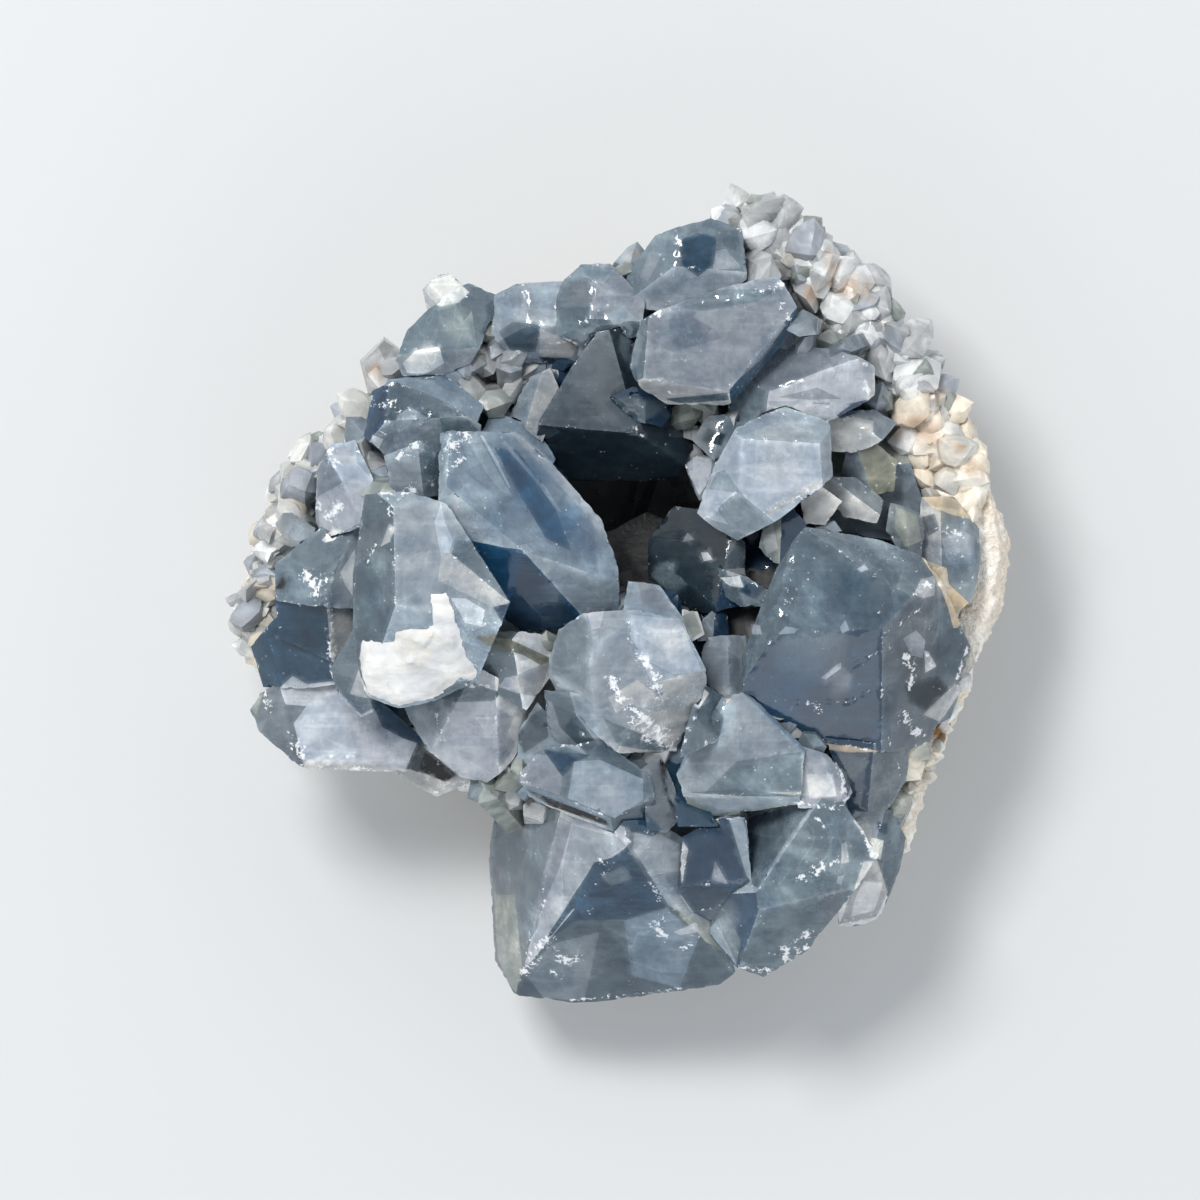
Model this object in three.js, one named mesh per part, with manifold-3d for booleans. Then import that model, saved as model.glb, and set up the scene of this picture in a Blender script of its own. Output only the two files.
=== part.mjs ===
// A celestite crystal cluster: blue crystals grown in bunches over the inner wall of a broken geode.
// Millimetres, +Z up. The piece lies on its rind with the crystals up.
// Plan places are X to the right and Y to the back, heights are above the surface it lies on.
import * as THREE from "three";
import { mergeVertices } from "three/addons/utils/BufferGeometryUtils.js";
import Module from "manifold-3d";

const wasm = await Module();
wasm.setup();

// Clearance and merging
const GAP = 0.3;
const SAME_POINT = 0.01;
const TOUCHING = 1e-6;
const NEARLY_PARALLEL = 1e-6;
const UP = new THREE.Vector3(0, 0, 1);

// The rock: a shallow bowl around this centre, with a level place below
const ROCK_CENTRE = [2, -1];
const ROCK_SIDES = 40;
const RIM_SAMPLES = 720;
const FLOOR_HEIGHT = 9;
const RIND_ROUGHNESS = 0.9;
const HOLLOW_ROUGHNESS = 0.6;
const ROCK_COLOUR = 0xd9cfc0;
const ROCK_DULLNESS = 0.95;

// The rind's lumps, as products of two waves: share of the roughness, and for each wave its turn
// along X, Y and Z in radians per millimetre and its start
const LUMP_WAVES = [
  { share: 1, first: [0.31, 0, 0.5, 0], second: [0, 0.27, 0, 1.7] },
  { share: 0.7, first: [0.83, -0.4, 0, 0.9], second: [0, 0.71, 0.6, 0] },
];

// The rock's rim as seen from above: X, Y, height of the rim, and where its inner edge lies,
// as a share of the way out from the centre
const RIM = [
  [-45, -1, 20, 0.93],
  [-43.5, 8, 20, 0.93],
  [-38.5, 17, 22, 0.93],
  [-31, 23.5, 25, 0.93],
  [-27, 29, 28, 0.93],
  [-20.5, 35.5, 29, 0.94],
  [-10.5, 37.5, 29, 0.94],
  [-2.5, 39.5, 30, 0.94],
  [8, 45, 31, 0.94],
  [17, 50, 33, 0.94],
  [25, 47, 34, 0.94],
  [32, 41.5, 34, 0.94],
  [38, 35, 33, 0.93],
  [43, 28.5, 32, 0.91],
  [47.5, 19.5, 31, 0.9],
  [51.7, 6, 30, 0.9],
  [50.8, -1, 29, 0.9],
  [46.5, -11, 27, 0.91],
  [43, -20, 25, 0.92],
  [39.8, -29, 21, 0.93],
  [36, -36, 17, 0.93],
  [28, -38.5, 15, 0.93],
  [18, -41, 14, 0.93],
  [6, -43, 13, 0.93],
  [-5, -43.5, 13, 0.93],
  [-11, -41, 14, 0.93],
  [-12.2, -33, 15, 0.93],
  [-13, -26, 16, 0.93],
  [-19, -21.5, 17, 0.93],
  [-27, -19.5, 17, 0.93],
  [-36, -18, 17, 0.93],
  [-41, -13, 18, 0.93],
  [-44, -7, 19, 0.93],
];

// The rind outside, from the level place up to the rim: share of the way out, share of the rim's height
const OUTSIDE_ROWS = [
  [0.5, 0],
  [0.7, 0.12],
  [0.86, 0.34],
  [0.96, 0.62],
  [1, 0.86],
  [0.97, 1],
];

// The hollow inside: share of the way to the rim's inner edge, share of the height above the floor
const INSIDE_ROWS = [
  [1, 1],
  [0.82, 0.52],
  [0.56, 0.17],
  [0.26, 0.02],
];

// The lining of small crystals
const LINING_THICKNESS = 1.4;
const LINING_OVERLAP = 0.6;
const DRUSE_SPACING = 3.8;
const DRUSE_RADIUS = [1.8, 2.9];
const DRUSE_HEIGHT = [1.2, 3.4];
const DRUSE_ROOT = 2.5;
const DRUSE_SIDES = 5;
const DRUSE_SIDE_REACH = [0.75, 1.05];
const DRUSE_SIDE_TURN = [0, 22];
const DRUSE_SIDE_TILT = 84;
const DRUSE_TOPS = 2;
const DRUSE_TOP_TURN = [0, 50];
const DRUSE_TOP_TILT = [20, 46];
const DRUSE_SEED = 11;
const DRUSE_COLOUR = 0xb9bdb8;
const DRUSE_DULLNESS = 0.35;

// Plain crystal values where a crystal gives none: undercut of its sides, and depth of its root
const LEAN = 3;
const ROOT = 10;
const CRYSTAL_DULLNESS = 0.15;

// Each crystal has a plan outline, one main face (X, Y, height, azimuth it faces, tilt from level),
// facets hinged on a line over the main face (X1, Y1, X2, Y2, slope), facets through three corners
// (X, Y, height each), and cuts (a plane as the main face is, tilted over 90 where it faces down).
const BUNCHES = {
  crystals_left_crown: {
    colour: 0x6f88a3,
    crystals: [
      // The long blade with the highest ridge
      {
        plan: [
          [-19.5, 20.3], [-10.9, 20.9], [-7.2, 18], [0, 10.3], [1.9, 5], [2.4, -1], [-2, -2.5],
          [-10, -4.3], [-19, 4],
        ],
        face: [-18.8, 13.9, 60, 25, 38],
        facets: [
          [-18.8, 13.9, 60, -9.5, 6.1, 56, -17.8, 7.7, 57.5],
          [-9.5, 6.1, 56, -17.8, 7.7, 57.5, -2, -2.3, 46],
          [-9.5, 6.1, 56, 2.2, 2.2, 49, -2, -2.3, 46],
        ],
        hinges: [[-18.9, 14, -18.4, 20.3, 60]],
        lean: 7,
      },
      // The frosted crystal, with the white patch on its front facet
      {
        plan: [
          [-28.8, 13], [-23, 13.2], [-19, 11.8], [-11.2, 0], [-12.5, -3.3], [-15, -9.7],
          [-20.3, -12.4], [-25, -13.4], [-29, -11.8], [-30.6, -4], [-30.3, 5],
        ],
        face: [-22, 8, 60, 300, 17],
        hinges: [
          [-25.4, 10, -25.2, 0, 48],
          [-25.2, -0.6, -12.5, -3.3, 34],
          [-24.5, 11.6, -19.5, 12.4, 45],
        ],
        lean: 4,
      },
      // The dark crystal at the top
      {
        plan: [
          [-29.1, 20.3], [-28.1, 25.9], [-25.3, 27], [-20, 24.8], [-14.8, 21.7], [-14.8, 20],
          [-19, 18.5], [-26, 17.5],
        ],
        face: [-24, 24, 53, 70, 15],
        hinges: [
          [-28.6, 22, -18.5, 22.6, 38],
          [-26.5, 21.5, -26.2, 26.7, 50],
        ],
        lean: 4,
      },
      // The lilac crystal on the left of it
      {
        plan: [
          [-34.9, 16.3], [-33.1, 19.2], [-30.3, 19.7], [-28.1, 15], [-28.6, 9.5], [-34.1, 7.5],
          [-35.3, 10],
        ],
        face: [-30, 14, 51, 190, 24],
        hinges: [[-33.5, 17.5, -29.5, 10.3, 52]],
        lean: 3,
      },
      // The small one between the ridge and the dark crystal
      {
        plan: [[-26.5, 17.8], [-22, 19.5], [-18.8, 17], [-19.5, 13], [-25.5, 12.5]],
        face: [-23, 15.5, 57, 250, 28],
        hinges: [[-22.5, 19.3, -21.8, 13, 40]],
      },
      // Lower crystals around its foot at the back
      {
        plan: [[-29, 21], [-26.5, 27.5], [-19, 28], [-14.5, 24], [-17, 18]],
        face: [-21, 24, 39, 100, 18],
        hinges: [[-27.5, 24.5, -16, 24, 40]],
      },
      {
        plan: [[-13.5, 23.5], [-8, 21.5], [-5.5, 17.5], [-8, 14], [-16, 18]],
        face: [-11, 19, 36, 60, 30],
      },
    ],
  },
  crystals_left_side: {
    colour: 0x55687f,
    crystals: [
      // Ridged crystal with white bits
      {
        plan: [[-29.5, 9.3], [-34.5, 9], [-40.3, 4.5], [-40.2, 0], [-34.5, -0.6], [-29.5, -1.2]],
        face: [-36, 4, 45, 160, 26],
        hinges: [[-30.4, 8.8, -35, -0.6, 40]],
        lean: 4,
      },
      {
        plan: [[-40.2, 0.6], [-34.1, 1.2], [-31, -1], [-30, -5.3], [-32, -8], [-40, -4.6]],
        face: [-36, -2, 43, 245, 28],
        hinges: [[-34.1, 0.9, -33.4, -7.5, 45]],
        lean: 4,
      },
      {
        plan: [
          [-43.4, -5.5], [-40, -2.2], [-33, -7], [-32.5, -10.4], [-35.3, -10.8], [-40, -10.5],
          [-42, -10.9],
        ],
        face: [-38, -7, 38.5, 250, 30],
        hinges: [[-41.5, -4, -39.6, -10.4, 50]],
        lean: 5,
      },
      {
        plan: [[-33.6, -8.5], [-30, -3.3], [-28.5, -8], [-26.5, -12.8], [-29.8, -14.4], [-32.3, -12]],
        face: [-30.5, -8, 45, 225, 35],
        hinges: [[-30.3, -4.5, -28.3, -13.5, 60]],
        lean: 6,
      },
      // The big flat pale face over the left corner
      {
        plan: [
          [-43.7, -13.5], [-41.6, -11], [-38, -9.3], [-31, -9.6], [-26.3, -13.5], [-21.8, -17.5],
          [-23.9, -21.3], [-36.6, -21], [-42.4, -16.5],
        ],
        face: [-31, -15, 35, 262, 9],
        hinges: [
          [-40, -10.4, -38.2, -20.6, 34],
          [-37, -20, -24.4, -20.2, 50],
        ],
        cuts: [[-33, -21.2, 31, 265, 112]],
        lean: 14,
      },
    ],
  },
  crystals_grey_tips: {
    colour: 0xa3adb8,
    crystals: [
      {
        plan: [
          [-24.6, -13.3], [-21, -11], [-14.5, -9.6], [-9, -12], [-7.4, -14], [-11.2, -20.3],
          [-14.2, -22.7], [-18.1, -21.8], [-23, -16],
        ],
        face: [-15.5, -12, 45, 265, 36],
        hinges: [
          [-16.5, -10.5, -21.5, -19.5, 48],
          [-13, -10, -12.6, -21.5, 50],
        ],
        cuts: [[-15, -22.2, 34, 262, 118]],
        lean: 12,
      },
      {
        plan: [
          [-17, -6], [-16, -4.2], [-9.9, -4], [-7.6, -4.1], [-5.6, -7], [-6.3, -9.8], [-9.3, -13.6],
          [-15, -10],
        ],
        face: [-12.5, -6, 48, 235, 30],
        hinges: [
          [-11, -4.2, -9.6, -13.4, 44],
          [-15.6, -4.6, -7.8, -5, 40],
        ],
        lean: 8,
      },
      // The low dark lump in the notch
      {
        plan: [[-26.8, -21.4], [-22.2, -23.3], [-19.9, -24.5], [-16.1, -22.6], [-17, -17], [-25, -16]],
        face: [-20.5, -21, 27, 262, 22],
        hinges: [[-22.8, -18, -21, -24.2, 40]],
        cuts: [[-20, -24.3, 24, 265, 125]],
        lean: 16,
      },
    ],
  },
  crystals_centre: {
    colour: 0x8fa8ba,
    crystals: [
      // The pale blue crystal in the middle
      {
        plan: [
          [-4.7, -3.1], [-1.3, -1.6], [3.8, -1.3], [9.8, -2.3], [12.8, -7.7], [13.2, -9.7],
          [9.6, -19], [1.9, -18.6], [-5, -12], [-6.4, -9.5], [-6, -6],
        ],
        face: [1.5, -5, 51.5, 268, 22],
        hinges: [
          [3.2, -1.6, 8.4, -12.5, 20],
          [-1.6, -2.8, -0.6, -13.8, 42],
        ],
        facets: [[7.2, -10, 49.6, 12.9, -9.2, 46.5, 9.4, -18.9, 41]],
        lean: 9,
      },
      // The slab behind it
      {
        plan: [[3.4, 2.3], [7.4, 1.9], [10.3, -2.5], [9, -6], [2.5, -4]],
        face: [6, 0, 46.5, 60, 25],
        lean: 6,
      },
      // Clear crystals that lean on its front left
      {
        plan: [[-6.6, -11], [-1.6, -12], [1.6, -16.5], [2.6, -18.4], [0, -20], [-4, -19], [-6.9, -15.3]],
        face: [-2.5, -14.5, 45.5, 245, 36],
        hinges: [[-3.6, -12, -1.2, -19.4, 46]],
        lean: 10,
      },
      {
        plan: [[-11.2, -17.3], [-7.6, -13], [-5.6, -15], [-4, -19.6], [-7, -20.6], [-11.4, -20.3]],
        face: [-7.8, -16.5, 40, 235, 36],
        lean: 8,
      },
    ],
  },
  crystals_middle_steps: {
    colour: 0x7d95ad,
    crystals: [
      // The flat pale plate
      {
        plan: [
          [-10, -21.5], [-6.9, -18.2], [0, -17.5], [5, -20.8], [5.9, -25.4], [7.6, -28.6],
          [5.9, -30], [1.9, -28.8], [-4, -26.9], [-9.4, -24],
        ],
        face: [-1, -22.5, 43.5, 262, 13],
        hinges: [
          [-9.6, -22.6, 1.6, -27.2, 62],
          [0.6, -27.4, 5.8, -25, 58],
        ],
        lean: 12,
      },
      {
        plan: [[5.3, -20.9], [7.4, -19.4], [9, -22.5], [10, -27.2], [8.2, -29], [5.7, -28.4]],
        face: [6.8, -22, 43.2, 320, 30],
        lean: 6,
      },
      {
        plan: [[7.6, -19.6], [10.2, -20], [13.2, -26.5], [14.8, -28.3], [9.8, -28]],
        face: [10, -24, 40.5, 30, 32],
        lean: 6,
      },
      // The mid-blue crystal right of the middle
      {
        plan: [
          [15.4, -12], [18.3, -11.5], [20.5, -13.6], [25.2, -18.3], [24.8, -25], [17.5, -26.6],
          [12.6, -27.2], [10.6, -25], [9.6, -21.5], [11, -18.5],
        ],
        face: [18, -18, 43.5, 245, 12],
        hinges: [
          [11, -24.4, 24, -24, 52],
          [15.2, -13.6, 10.4, -20.4, 30],
          [17.8, -11.6, 24.9, -18.6, 40],
        ],
        lean: 8,
      },
      {
        plan: [[12.8, -10.4], [15.8, -12.3], [16, -15.3], [13.8, -18], [10.1, -19.3], [11.2, -13.8]],
        face: [13, -14, 44, 20, 42],
        lean: 6,
      },
      // The small lilac crystal beside it
      {
        plan: [[24.6, -18], [27.7, -19], [30.3, -21.2], [31.5, -24], [29.5, -26], [24.6, -25.7]],
        face: [26.5, -22, 42, 300, 18],
        hinges: [[27.6, -19.3, 30, -25.6, 44]],
        lean: 6,
      },
    ],
  },
  crystal_front_large: {
    colour: 0x6c7987,
    crystals: [
      {
        plan: [
          [-12.4, -24.1], [-5, -25.5], [4, -28.4], [8, -28.4], [10.8, -29.8], [13, -40],
          [17.4, -45.3], [16, -47.8], [5, -49.9], [-8.1, -50.9], [-10.6, -50], [-12.9, -47.2],
          [-14, -44.4], [-13.8, -29.4],
        ],
        face: [3.3, -30.6, 40, 262, 45],
        facets: [
          [3.3, -30.6, 40, -8.4, -45, 24.1, -5.3, -27, 36],
          [-5.3, -28.1, 35.4, -9.1, -44.7, 23.8, -13.7, -30, 17],
          [3.3, -30.6, 40, 12.5, -41.6, 30.4, 10.6, -30, 36.5],
        ],
        cuts: [
          [0, -50, 18.5, 264, 132],
          [-13.8, -38, 16, 180, 120],
          [16, -46, 24, 330, 118],
        ],
        lean: 10,
      },
    ],
  },
  crystals_front_right: {
    colour: 0x4d5b6e,
    crystals: [
      // The navy crystal between the two large ones
      {
        plan: [
          [10.4, -29.4], [14.4, -27.2], [18, -27], [19, -35.4], [15.2, -40], [11.8, -40.4],
          [9.8, -35.6],
        ],
        face: [14, -31, 38.5, 268, 17],
        hinges: [[10, -35.6, 18.4, -35.2, 54]],
        lean: 8,
      },
      // The dark slate crystal at the corner
      {
        plan: [
          [16.3, -27], [17.6, -25.8], [24.5, -24.8], [30.2, -25.6], [34.7, -31.5], [33.2, -34],
          [28.1, -41.8], [20.6, -47.3], [17.2, -45.5], [13, -41.4],
        ],
        face: [24, -32, 40, 288, 15],
        hinges: [
          [18, -26, 19.4, -36, 52],
          [15.4, -39.6, 31.4, -35.8, 44],
          [15.2, -42.6, 19.6, -36.2, 56],
        ],
        cuts: [
          [24, -45, 27, 305, 120],
          [16, -44, 27, 235, 115],
        ],
        lean: 12,
      },
      // The glassy end piece
      {
        plan: [
          [31.2, -27], [33, -25.8], [36.2, -26.2], [38.2, -29.5], [37.7, -33], [36.7, -35.8],
          [35.1, -39.6], [32.6, -40.8], [29.8, -40.8], [30, -36],
        ],
        face: [34, -31, 30.5, 292, 18],
        hinges: [
          [32.4, -32.5, 38, -30.4, 40],
          [33.6, -33, 31.4, -40.4, 46],
        ],
        cuts: [[34, -40.5, 21, 295, 125]],
        lean: 5,
        root: 15,
      },
    ],
  },
  crystals_right_large: {
    colour: 0x54667e,
    crystals: [
      // The big dark blue crystal
      {
        plan: [
          [22.3, 4.5], [25.3, 8.9], [33.1, 7.9], [40, 5.5], [43, 1], [46.8, -5], [44.9, -9.8],
          [40.8, -18.2], [35.6, -19.1], [27.5, -18], [18, -11.8], [17.6, -7],
        ],
        face: [29, -2, 47, 60, 13],
        hinges: [
          [18, -4.6, 44, -3, 30],
          [23.6, 5.4, 21.6, -4.4, 58],
          [32.6, 4.2, 40.8, -1, 40],
        ],
        facets: [[38.4, -3.4, 43.4, 46.4, -4.6, 35, 41.4, -16.6, 33]],
        cuts: [[44, -12, 28, 330, 112]],
        lean: 10,
      },
      // The dark crystal below it
      {
        plan: [
          [28.6, -17.6], [38.2, -18.2], [38.4, -22], [37, -24.6], [36, -26.2], [30.8, -26.2],
          [30, -22],
        ],
        face: [33, -21, 37.5, 292, 28],
        hinges: [[34, -18.4, 33.4, -26, 42]],
        lean: 8,
      },
      {
        plan: [[40.4, -13.2], [44, -10], [45, -11], [43.7, -14.7], [41.8, -15.6], [39.6, -15]],
        face: [42.3, -12.6, 33.5, 320, 25],
        lean: 2,
        root: 24,
      },
    ],
  },
  crystals_hollow_side: {
    colour: 0x4a5868,
    crystals: [
      // The dark crystal at the hollow's right side
      {
        plan: [
          [9.2, 11.7], [13, 11.1], [16.7, 9], [18, 7], [18, -0.5], [13, -1.6], [9.3, -0.2], [6, 3],
          [6.2, 7.6],
        ],
        face: [13, 4, 37.5, 150, 30],
        hinges: [
          [15, 2, 16.6, 9, 30],
          [8, 4.6, 14.6, -1, 46],
        ],
        lean: 4,
      },
      {
        plan: [[14.8, 4], [18.7, 2.6], [21.3, 0.9], [20.8, -0.8], [17.6, -0.8], [15.4, 0.6]],
        face: [18.2, 1.6, 41, 210, 26],
        hinges: [[17.4, 3.2, 18, -0.7, 40]],
        lean: 4,
      },
      {
        plan: [[23.3, 12.2], [25.6, 9.4], [24.2, 4.4], [21.6, 4.6], [19.8, 6.5], [20.6, 10]],
        face: [22.6, 8.4, 42, 190, 26],
        hinges: [[22.6, 11.8, 22.4, 4.6, 40]],
        lean: 4,
      },
      // The low dark crystals that join these
      {
        plan: [[10.5, -3], [13, -12.4], [18.4, -12], [21, -2], [25.6, 9], [22.8, 12.4], [16, 9], [10, 4]],
        face: [17, 0, 34, 90, 8],
        hinges: [[12, 2, 21, 4, 22]],
        lean: 1,
      },
      // Small grey crystals in front of it
      {
        plan: [[10.2, -1.2], [12.1, -1.5], [12.9, -4.3], [11.2, -5.2], [9.8, -3.6]],
        face: [11.3, -3, 43, 40, 30],
        lean: 4,
      },
      {
        plan: [[12.7, -2.4], [14.5, -1], [16, -2], [15.9, -4.9], [12.2, -5]],
        face: [14.2, -3, 39.5, 60, 25],
        hinges: [[14.4, -1.1, 14, -4.9, 35]],
        lean: 4,
      },
      {
        plan: [
          [13.4, -4.6], [18, -4.4], [18.6, -9], [18.6, -11.9], [16.5, -12.7], [14.2, -11.6],
          [12.9, -9.2], [12.7, -6.5],
        ],
        face: [15.6, -8, 41, 200, 20],
        hinges: [[15.8, -4.6, 16.2, -12.5, 38]],
        lean: 4,
      },
    ],
  },
  crystals_green_grey: {
    colour: 0x848d88,
    crystals: [
      // The low crystals that join these
      {
        plan: [[24.8, 9.6], [27.4, 20], [31, 24], [37, 22], [40, 13], [41, 7], [33, 8]],
        face: [33, 14, 32.5, 280, 10],
        hinges: [[27, 15, 38, 17, 24]],
        lean: 1,
      },
      {
        plan: [[27.9, 21.7], [30, 23.4], [34.1, 23.7], [37, 22], [34.6, 19.5], [31.6, 18.3], [28.7, 18.6]],
        face: [32, 21, 39, 250, 14],
        hinges: [[30.4, 23.2, 35, 20, 34]],
      },
      {
        plan: [[28.2, 15.2], [31.8, 15.3], [35.4, 12.4], [34.4, 9.6], [30.4, 10.4], [27.6, 13.6]],
        face: [31, 12.8, 38.5, 245, 16],
        hinges: [[29, 15, 34.8, 10.6, 36]],
      },
      {
        plan: [[25, 12.2], [27, 14.4], [30, 12.3], [28, 9.4], [25.4, 9.6]],
        face: [27.2, 12, 42, 270, 24],
      },
      {
        plan: [[30.8, 18.6], [34.4, 19.4], [37, 17.4], [36.6, 13.6], [33, 13], [30, 15.6]],
        face: [33.4, 16.4, 37, 300, 20],
        hinges: [[32, 18.8, 34, 13.2, 34]],
      },
      {
        plan: [[36.2, 12], [39.5, 11], [40.4, 9], [40, 5.4], [37.6, 5.6], [35.6, 8.8]],
        face: [38, 8.6, 37.5, 285, 18],
        hinges: [[37.6, 11.6, 38.6, 5.6, 36]],
      },
      {
        plan: [
          [40.2, 12.8], [44, 12.8], [47.2, 9], [47.5, 5], [46.4, 0], [44, -2], [42, 2], [39.8, 5.4],
          [39.6, 9],
        ],
        face: [43, 7, 34.5, 330, 14],
        hinges: [
          [42.4, 12.8, 42.8, 0, 22],
          [45, 12, 46.6, 2, 46],
        ],
      },
    ],
  },
  crystals_pale_bright: {
    colour: 0xa9c0cf,
    crystals: [
      {
        plan: [
          [12, 10.9], [13.4, 14.2], [14.3, 17], [17.3, 21.4], [20, 23], [23.1, 24], [28.4, 22],
          [28.8, 15.3], [25, 12.3], [17.5, 7.3], [15, 8.6],
        ],
        face: [22, 16, 45.5, 248, 8],
        hinges: [
          [17.6, 20, 27.2, 19.4, 36],
          [16.9, 13.7, 20.8, 10.4, 40],
          [27.2, 19.6, 27.5, 15, 46],
          [17.1, 13.4, 17.7, 20, 46],
        ],
        lean: 9,
      },
      {
        plan: [[11.6, 19.8], [13.3, 22.8], [15.4, 23], [18, 21.8], [16.5, 18.8], [14.2, 17.4]],
        face: [14.4, 20.4, 41.5, 140, 22],
        hinges: [[13.8, 17.8, 15.6, 22.8, 34]],
      },
      {
        plan: [[10.6, 16.8], [12.2, 18.1], [14.6, 17.6], [14, 14], [12.4, 12.4]],
        face: [12.6, 16, 39, 170, 26],
      },
    ],
  },
  crystals_upper_right: {
    colour: 0x7e8aa0,
    crystals: [
      // The large lilac crystal
      {
        plan: [
          [3.6, 29.1], [4.6, 32.5], [5.2, 34.8], [9.7, 36.6], [15.3, 38.7], [21.9, 40.2],
          [24.4, 35.9], [23.8, 33.4], [18.4, 26.7], [15.9, 24.3], [8.1, 24.3], [4.8, 26.8],
        ],
        face: [13, 31, 47.5, 262, 11],
        hinges: [
          [16.2, 26.2, 23, 34.6, 60],
          [5, 27.6, 15.6, 26, 56],
          [8.6, 36, 21.4, 38.6, 40],
          [5.4, 27.8, 6, 34.8, 36],
        ],
        lean: 10,
      },
      // The pale-faced crystal below it
      {
        plan: [
          [15.7, 24.1], [18.2, 27.6], [20.4, 30.2], [22.5, 31.7], [26.9, 31.4], [30, 30.9],
          [34.1, 29], [34.1, 25.4], [32.5, 24.4], [28.1, 22], [20.9, 22.6], [17.8, 21.6],
        ],
        face: [27, 26, 43.5, 272, 15],
        hinges: [
          [20.6, 25.6, 31.9, 29.8, 34],
          [21, 26.2, 20.6, 22.8, 34],
          [32, 29.8, 33.4, 24.8, 44],
        ],
        lean: 8,
      },
    ],
  },
  crystals_over_hollow: {
    colour: 0x3f4f63,
    crystals: [
      // The dark crystal whose front face drops into the hollow
      {
        plan: [
          [-8, 19.8], [-7.4, 22.6], [-4, 27.8], [-2.4, 30.6], [-0.3, 33.2], [2.8, 33.8],
          [6.8, 28], [12, 19.5], [9.2, 15.2], [6, 15], [-4.4, 15], [-6.3, 16.6],
        ],
        face: [0, 27, 40, 245, 20],
        hinges: [
          [-7.6, 21.8, 9, 20.4, 58],
          [1.4, 32.6, 4.6, 21, 34],
        ],
        lean: 2,
      },
      {
        plan: [[1.2, 25.2], [4, 26.4], [7.2, 25.8], [8.7, 23], [7.6, 21.6], [4.3, 22.4]],
        face: [5, 24.2, 41.6, 260, 26],
        hinges: [[4.6, 26.2, 5.6, 22.2, 40]],
      },
      // The upright pale blade on its left
      {
        plan: [
          [-8.6, 27.8], [-6.2, 28.8], [-4.8, 25.6], [-7, 21.5], [-7.4, 19.1], [-10, 20.2], [-12.5, 21.1],
        ],
        face: [-8.4, 24.4, 36, 215, 30],
        hinges: [[-7.4, 28, -9.6, 20.6, 42]],
      },
    ],
  },
  crystals_back_row: {
    colour: 0x6a7e96,
    crystals: [
      {
        plan: [
          [3.1, 39.4], [4.2, 41.7], [7.1, 45.4], [10.3, 46.4], [13.8, 47.4], [17.7, 46], [18.1, 40],
          [13.8, 36.6], [8.8, 35.6], [5, 36.4],
        ],
        face: [12, 42.4, 42.5, 80, 12],
        hinges: [
          [10.2, 41.4, 17.6, 40.8, 20],
          [9.6, 46, 8.8, 36.4, 26],
        ],
        lean: 12,
      },
      {
        plan: [
          [-4.3, 40], [-2.2, 41.7], [1.4, 41.7], [2.4, 40.5], [5.5, 37.2], [4.9, 32.9], [-2.5, 31.5],
          [-5.3, 33.2], [-5.6, 37.5],
        ],
        face: [0, 37.5, 41.5, 85, 14],
        hinges: [
          [-5.2, 35.2, 4.8, 34.6, 30],
          [-1, 41.4, -1.4, 32, 28],
        ],
        lean: 10,
      },
      {
        plan: [
          [-13.2, 38], [-10, 39.4], [-4.7, 39.6], [-3.2, 32.8], [-1.4, 30.8], [-2.3, 29.6],
          [-10, 29.6], [-13.4, 33.2],
        ],
        face: [-8, 36.6, 39.5, 95, 14],
        hinges: [
          [-13, 34, -3.4, 34.2, 42],
          [-9.6, 39, -8.8, 30, 30],
        ],
        lean: 10,
      },
      {
        plan: [
          [-25.2, 30.3], [-24, 33.5], [-22, 35.5], [-18.1, 37.6], [-16.6, 39.5], [-12.4, 37.8],
          [-14.4, 33], [-16, 29.8], [-19.4, 27.9], [-24.6, 27.4],
        ],
        face: [-19, 33, 38, 130, 14],
        hinges: [
          [-24.6, 30.6, -15.6, 31.4, 34],
          [-18, 37, -15.4, 31.4, 30],
        ],
        lean: 10,
      },
      // The white nub at the edge
      {
        plan: [[-22.1, 38.8], [-20.5, 40.4], [-18.8, 40.8], [-16, 38.4], [-18, 35.5], [-21.4, 35.8]],
        face: [-19.2, 38.4, 33, 120, 22],
        hinges: [[-21.4, 39.4, -17.8, 36, 40]],
        lean: 6,
        root: 28.5,
      },
    ],
  },
};

// Where the small crystals of the lining show, as seen from above
const DRUSE_PATCHES = [
  [
    [-29, 24.5], [-30, 19], [-34, 18], [-35.5, 15], [-37, 9], [-40.5, 6], [-40.5, 0], [-43, -7],
    [-44.6, -4.5], [-45, -1], [-43.8, 7.5], [-40.5, 13.8], [-36, 18.6], [-31.5, 22.6],
  ],
  [
    [-28.5, 24], [-20, 22], [-9, 21], [-8, 29], [-14, 32], [-25, 30.5], [-27.5, 29.3],
  ],
  [
    [16.5, 47], [17, 40.5], [22, 40.5], [23.5, 37], [24, 31], [33, 29.5], [36, 26], [36, 22], [38, 13],
    [41, 12], [46, 14], [46, 18], [42, 26.5], [37.5, 33.5], [33, 38.5], [26, 45], [18.5, 51.5], [15, 49],
  ],
];

// Small seeded random numbers from 0 to 1
function randomFrom(seed) {
  let state = seed;
  return () => {
    state = (state + 0x6d2b79f5) | 0;
    let mixed = Math.imul(state ^ (state >>> 15), 1 | state);
    mixed = (mixed + Math.imul(mixed ^ (mixed >>> 7), 61 | mixed)) ^ mixed;
    return ((mixed ^ (mixed >>> 14)) >>> 0) / 4294967296;
  };
}

// A three.js geometry as a solid
function solidFromGeometry(geometry) {
  const bare = geometry.clone();
  bare.deleteAttribute("normal");
  bare.deleteAttribute("uv");
  const merged = mergeVertices(bare, SAME_POINT / 10);
  return new wasm.Manifold(
    new wasm.Mesh({
      numProp: 3,
      vertProperties: new Float32Array(merged.attributes.position.array),
      triVerts: new Uint32Array(merged.index.array),
    }),
  );
}

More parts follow.
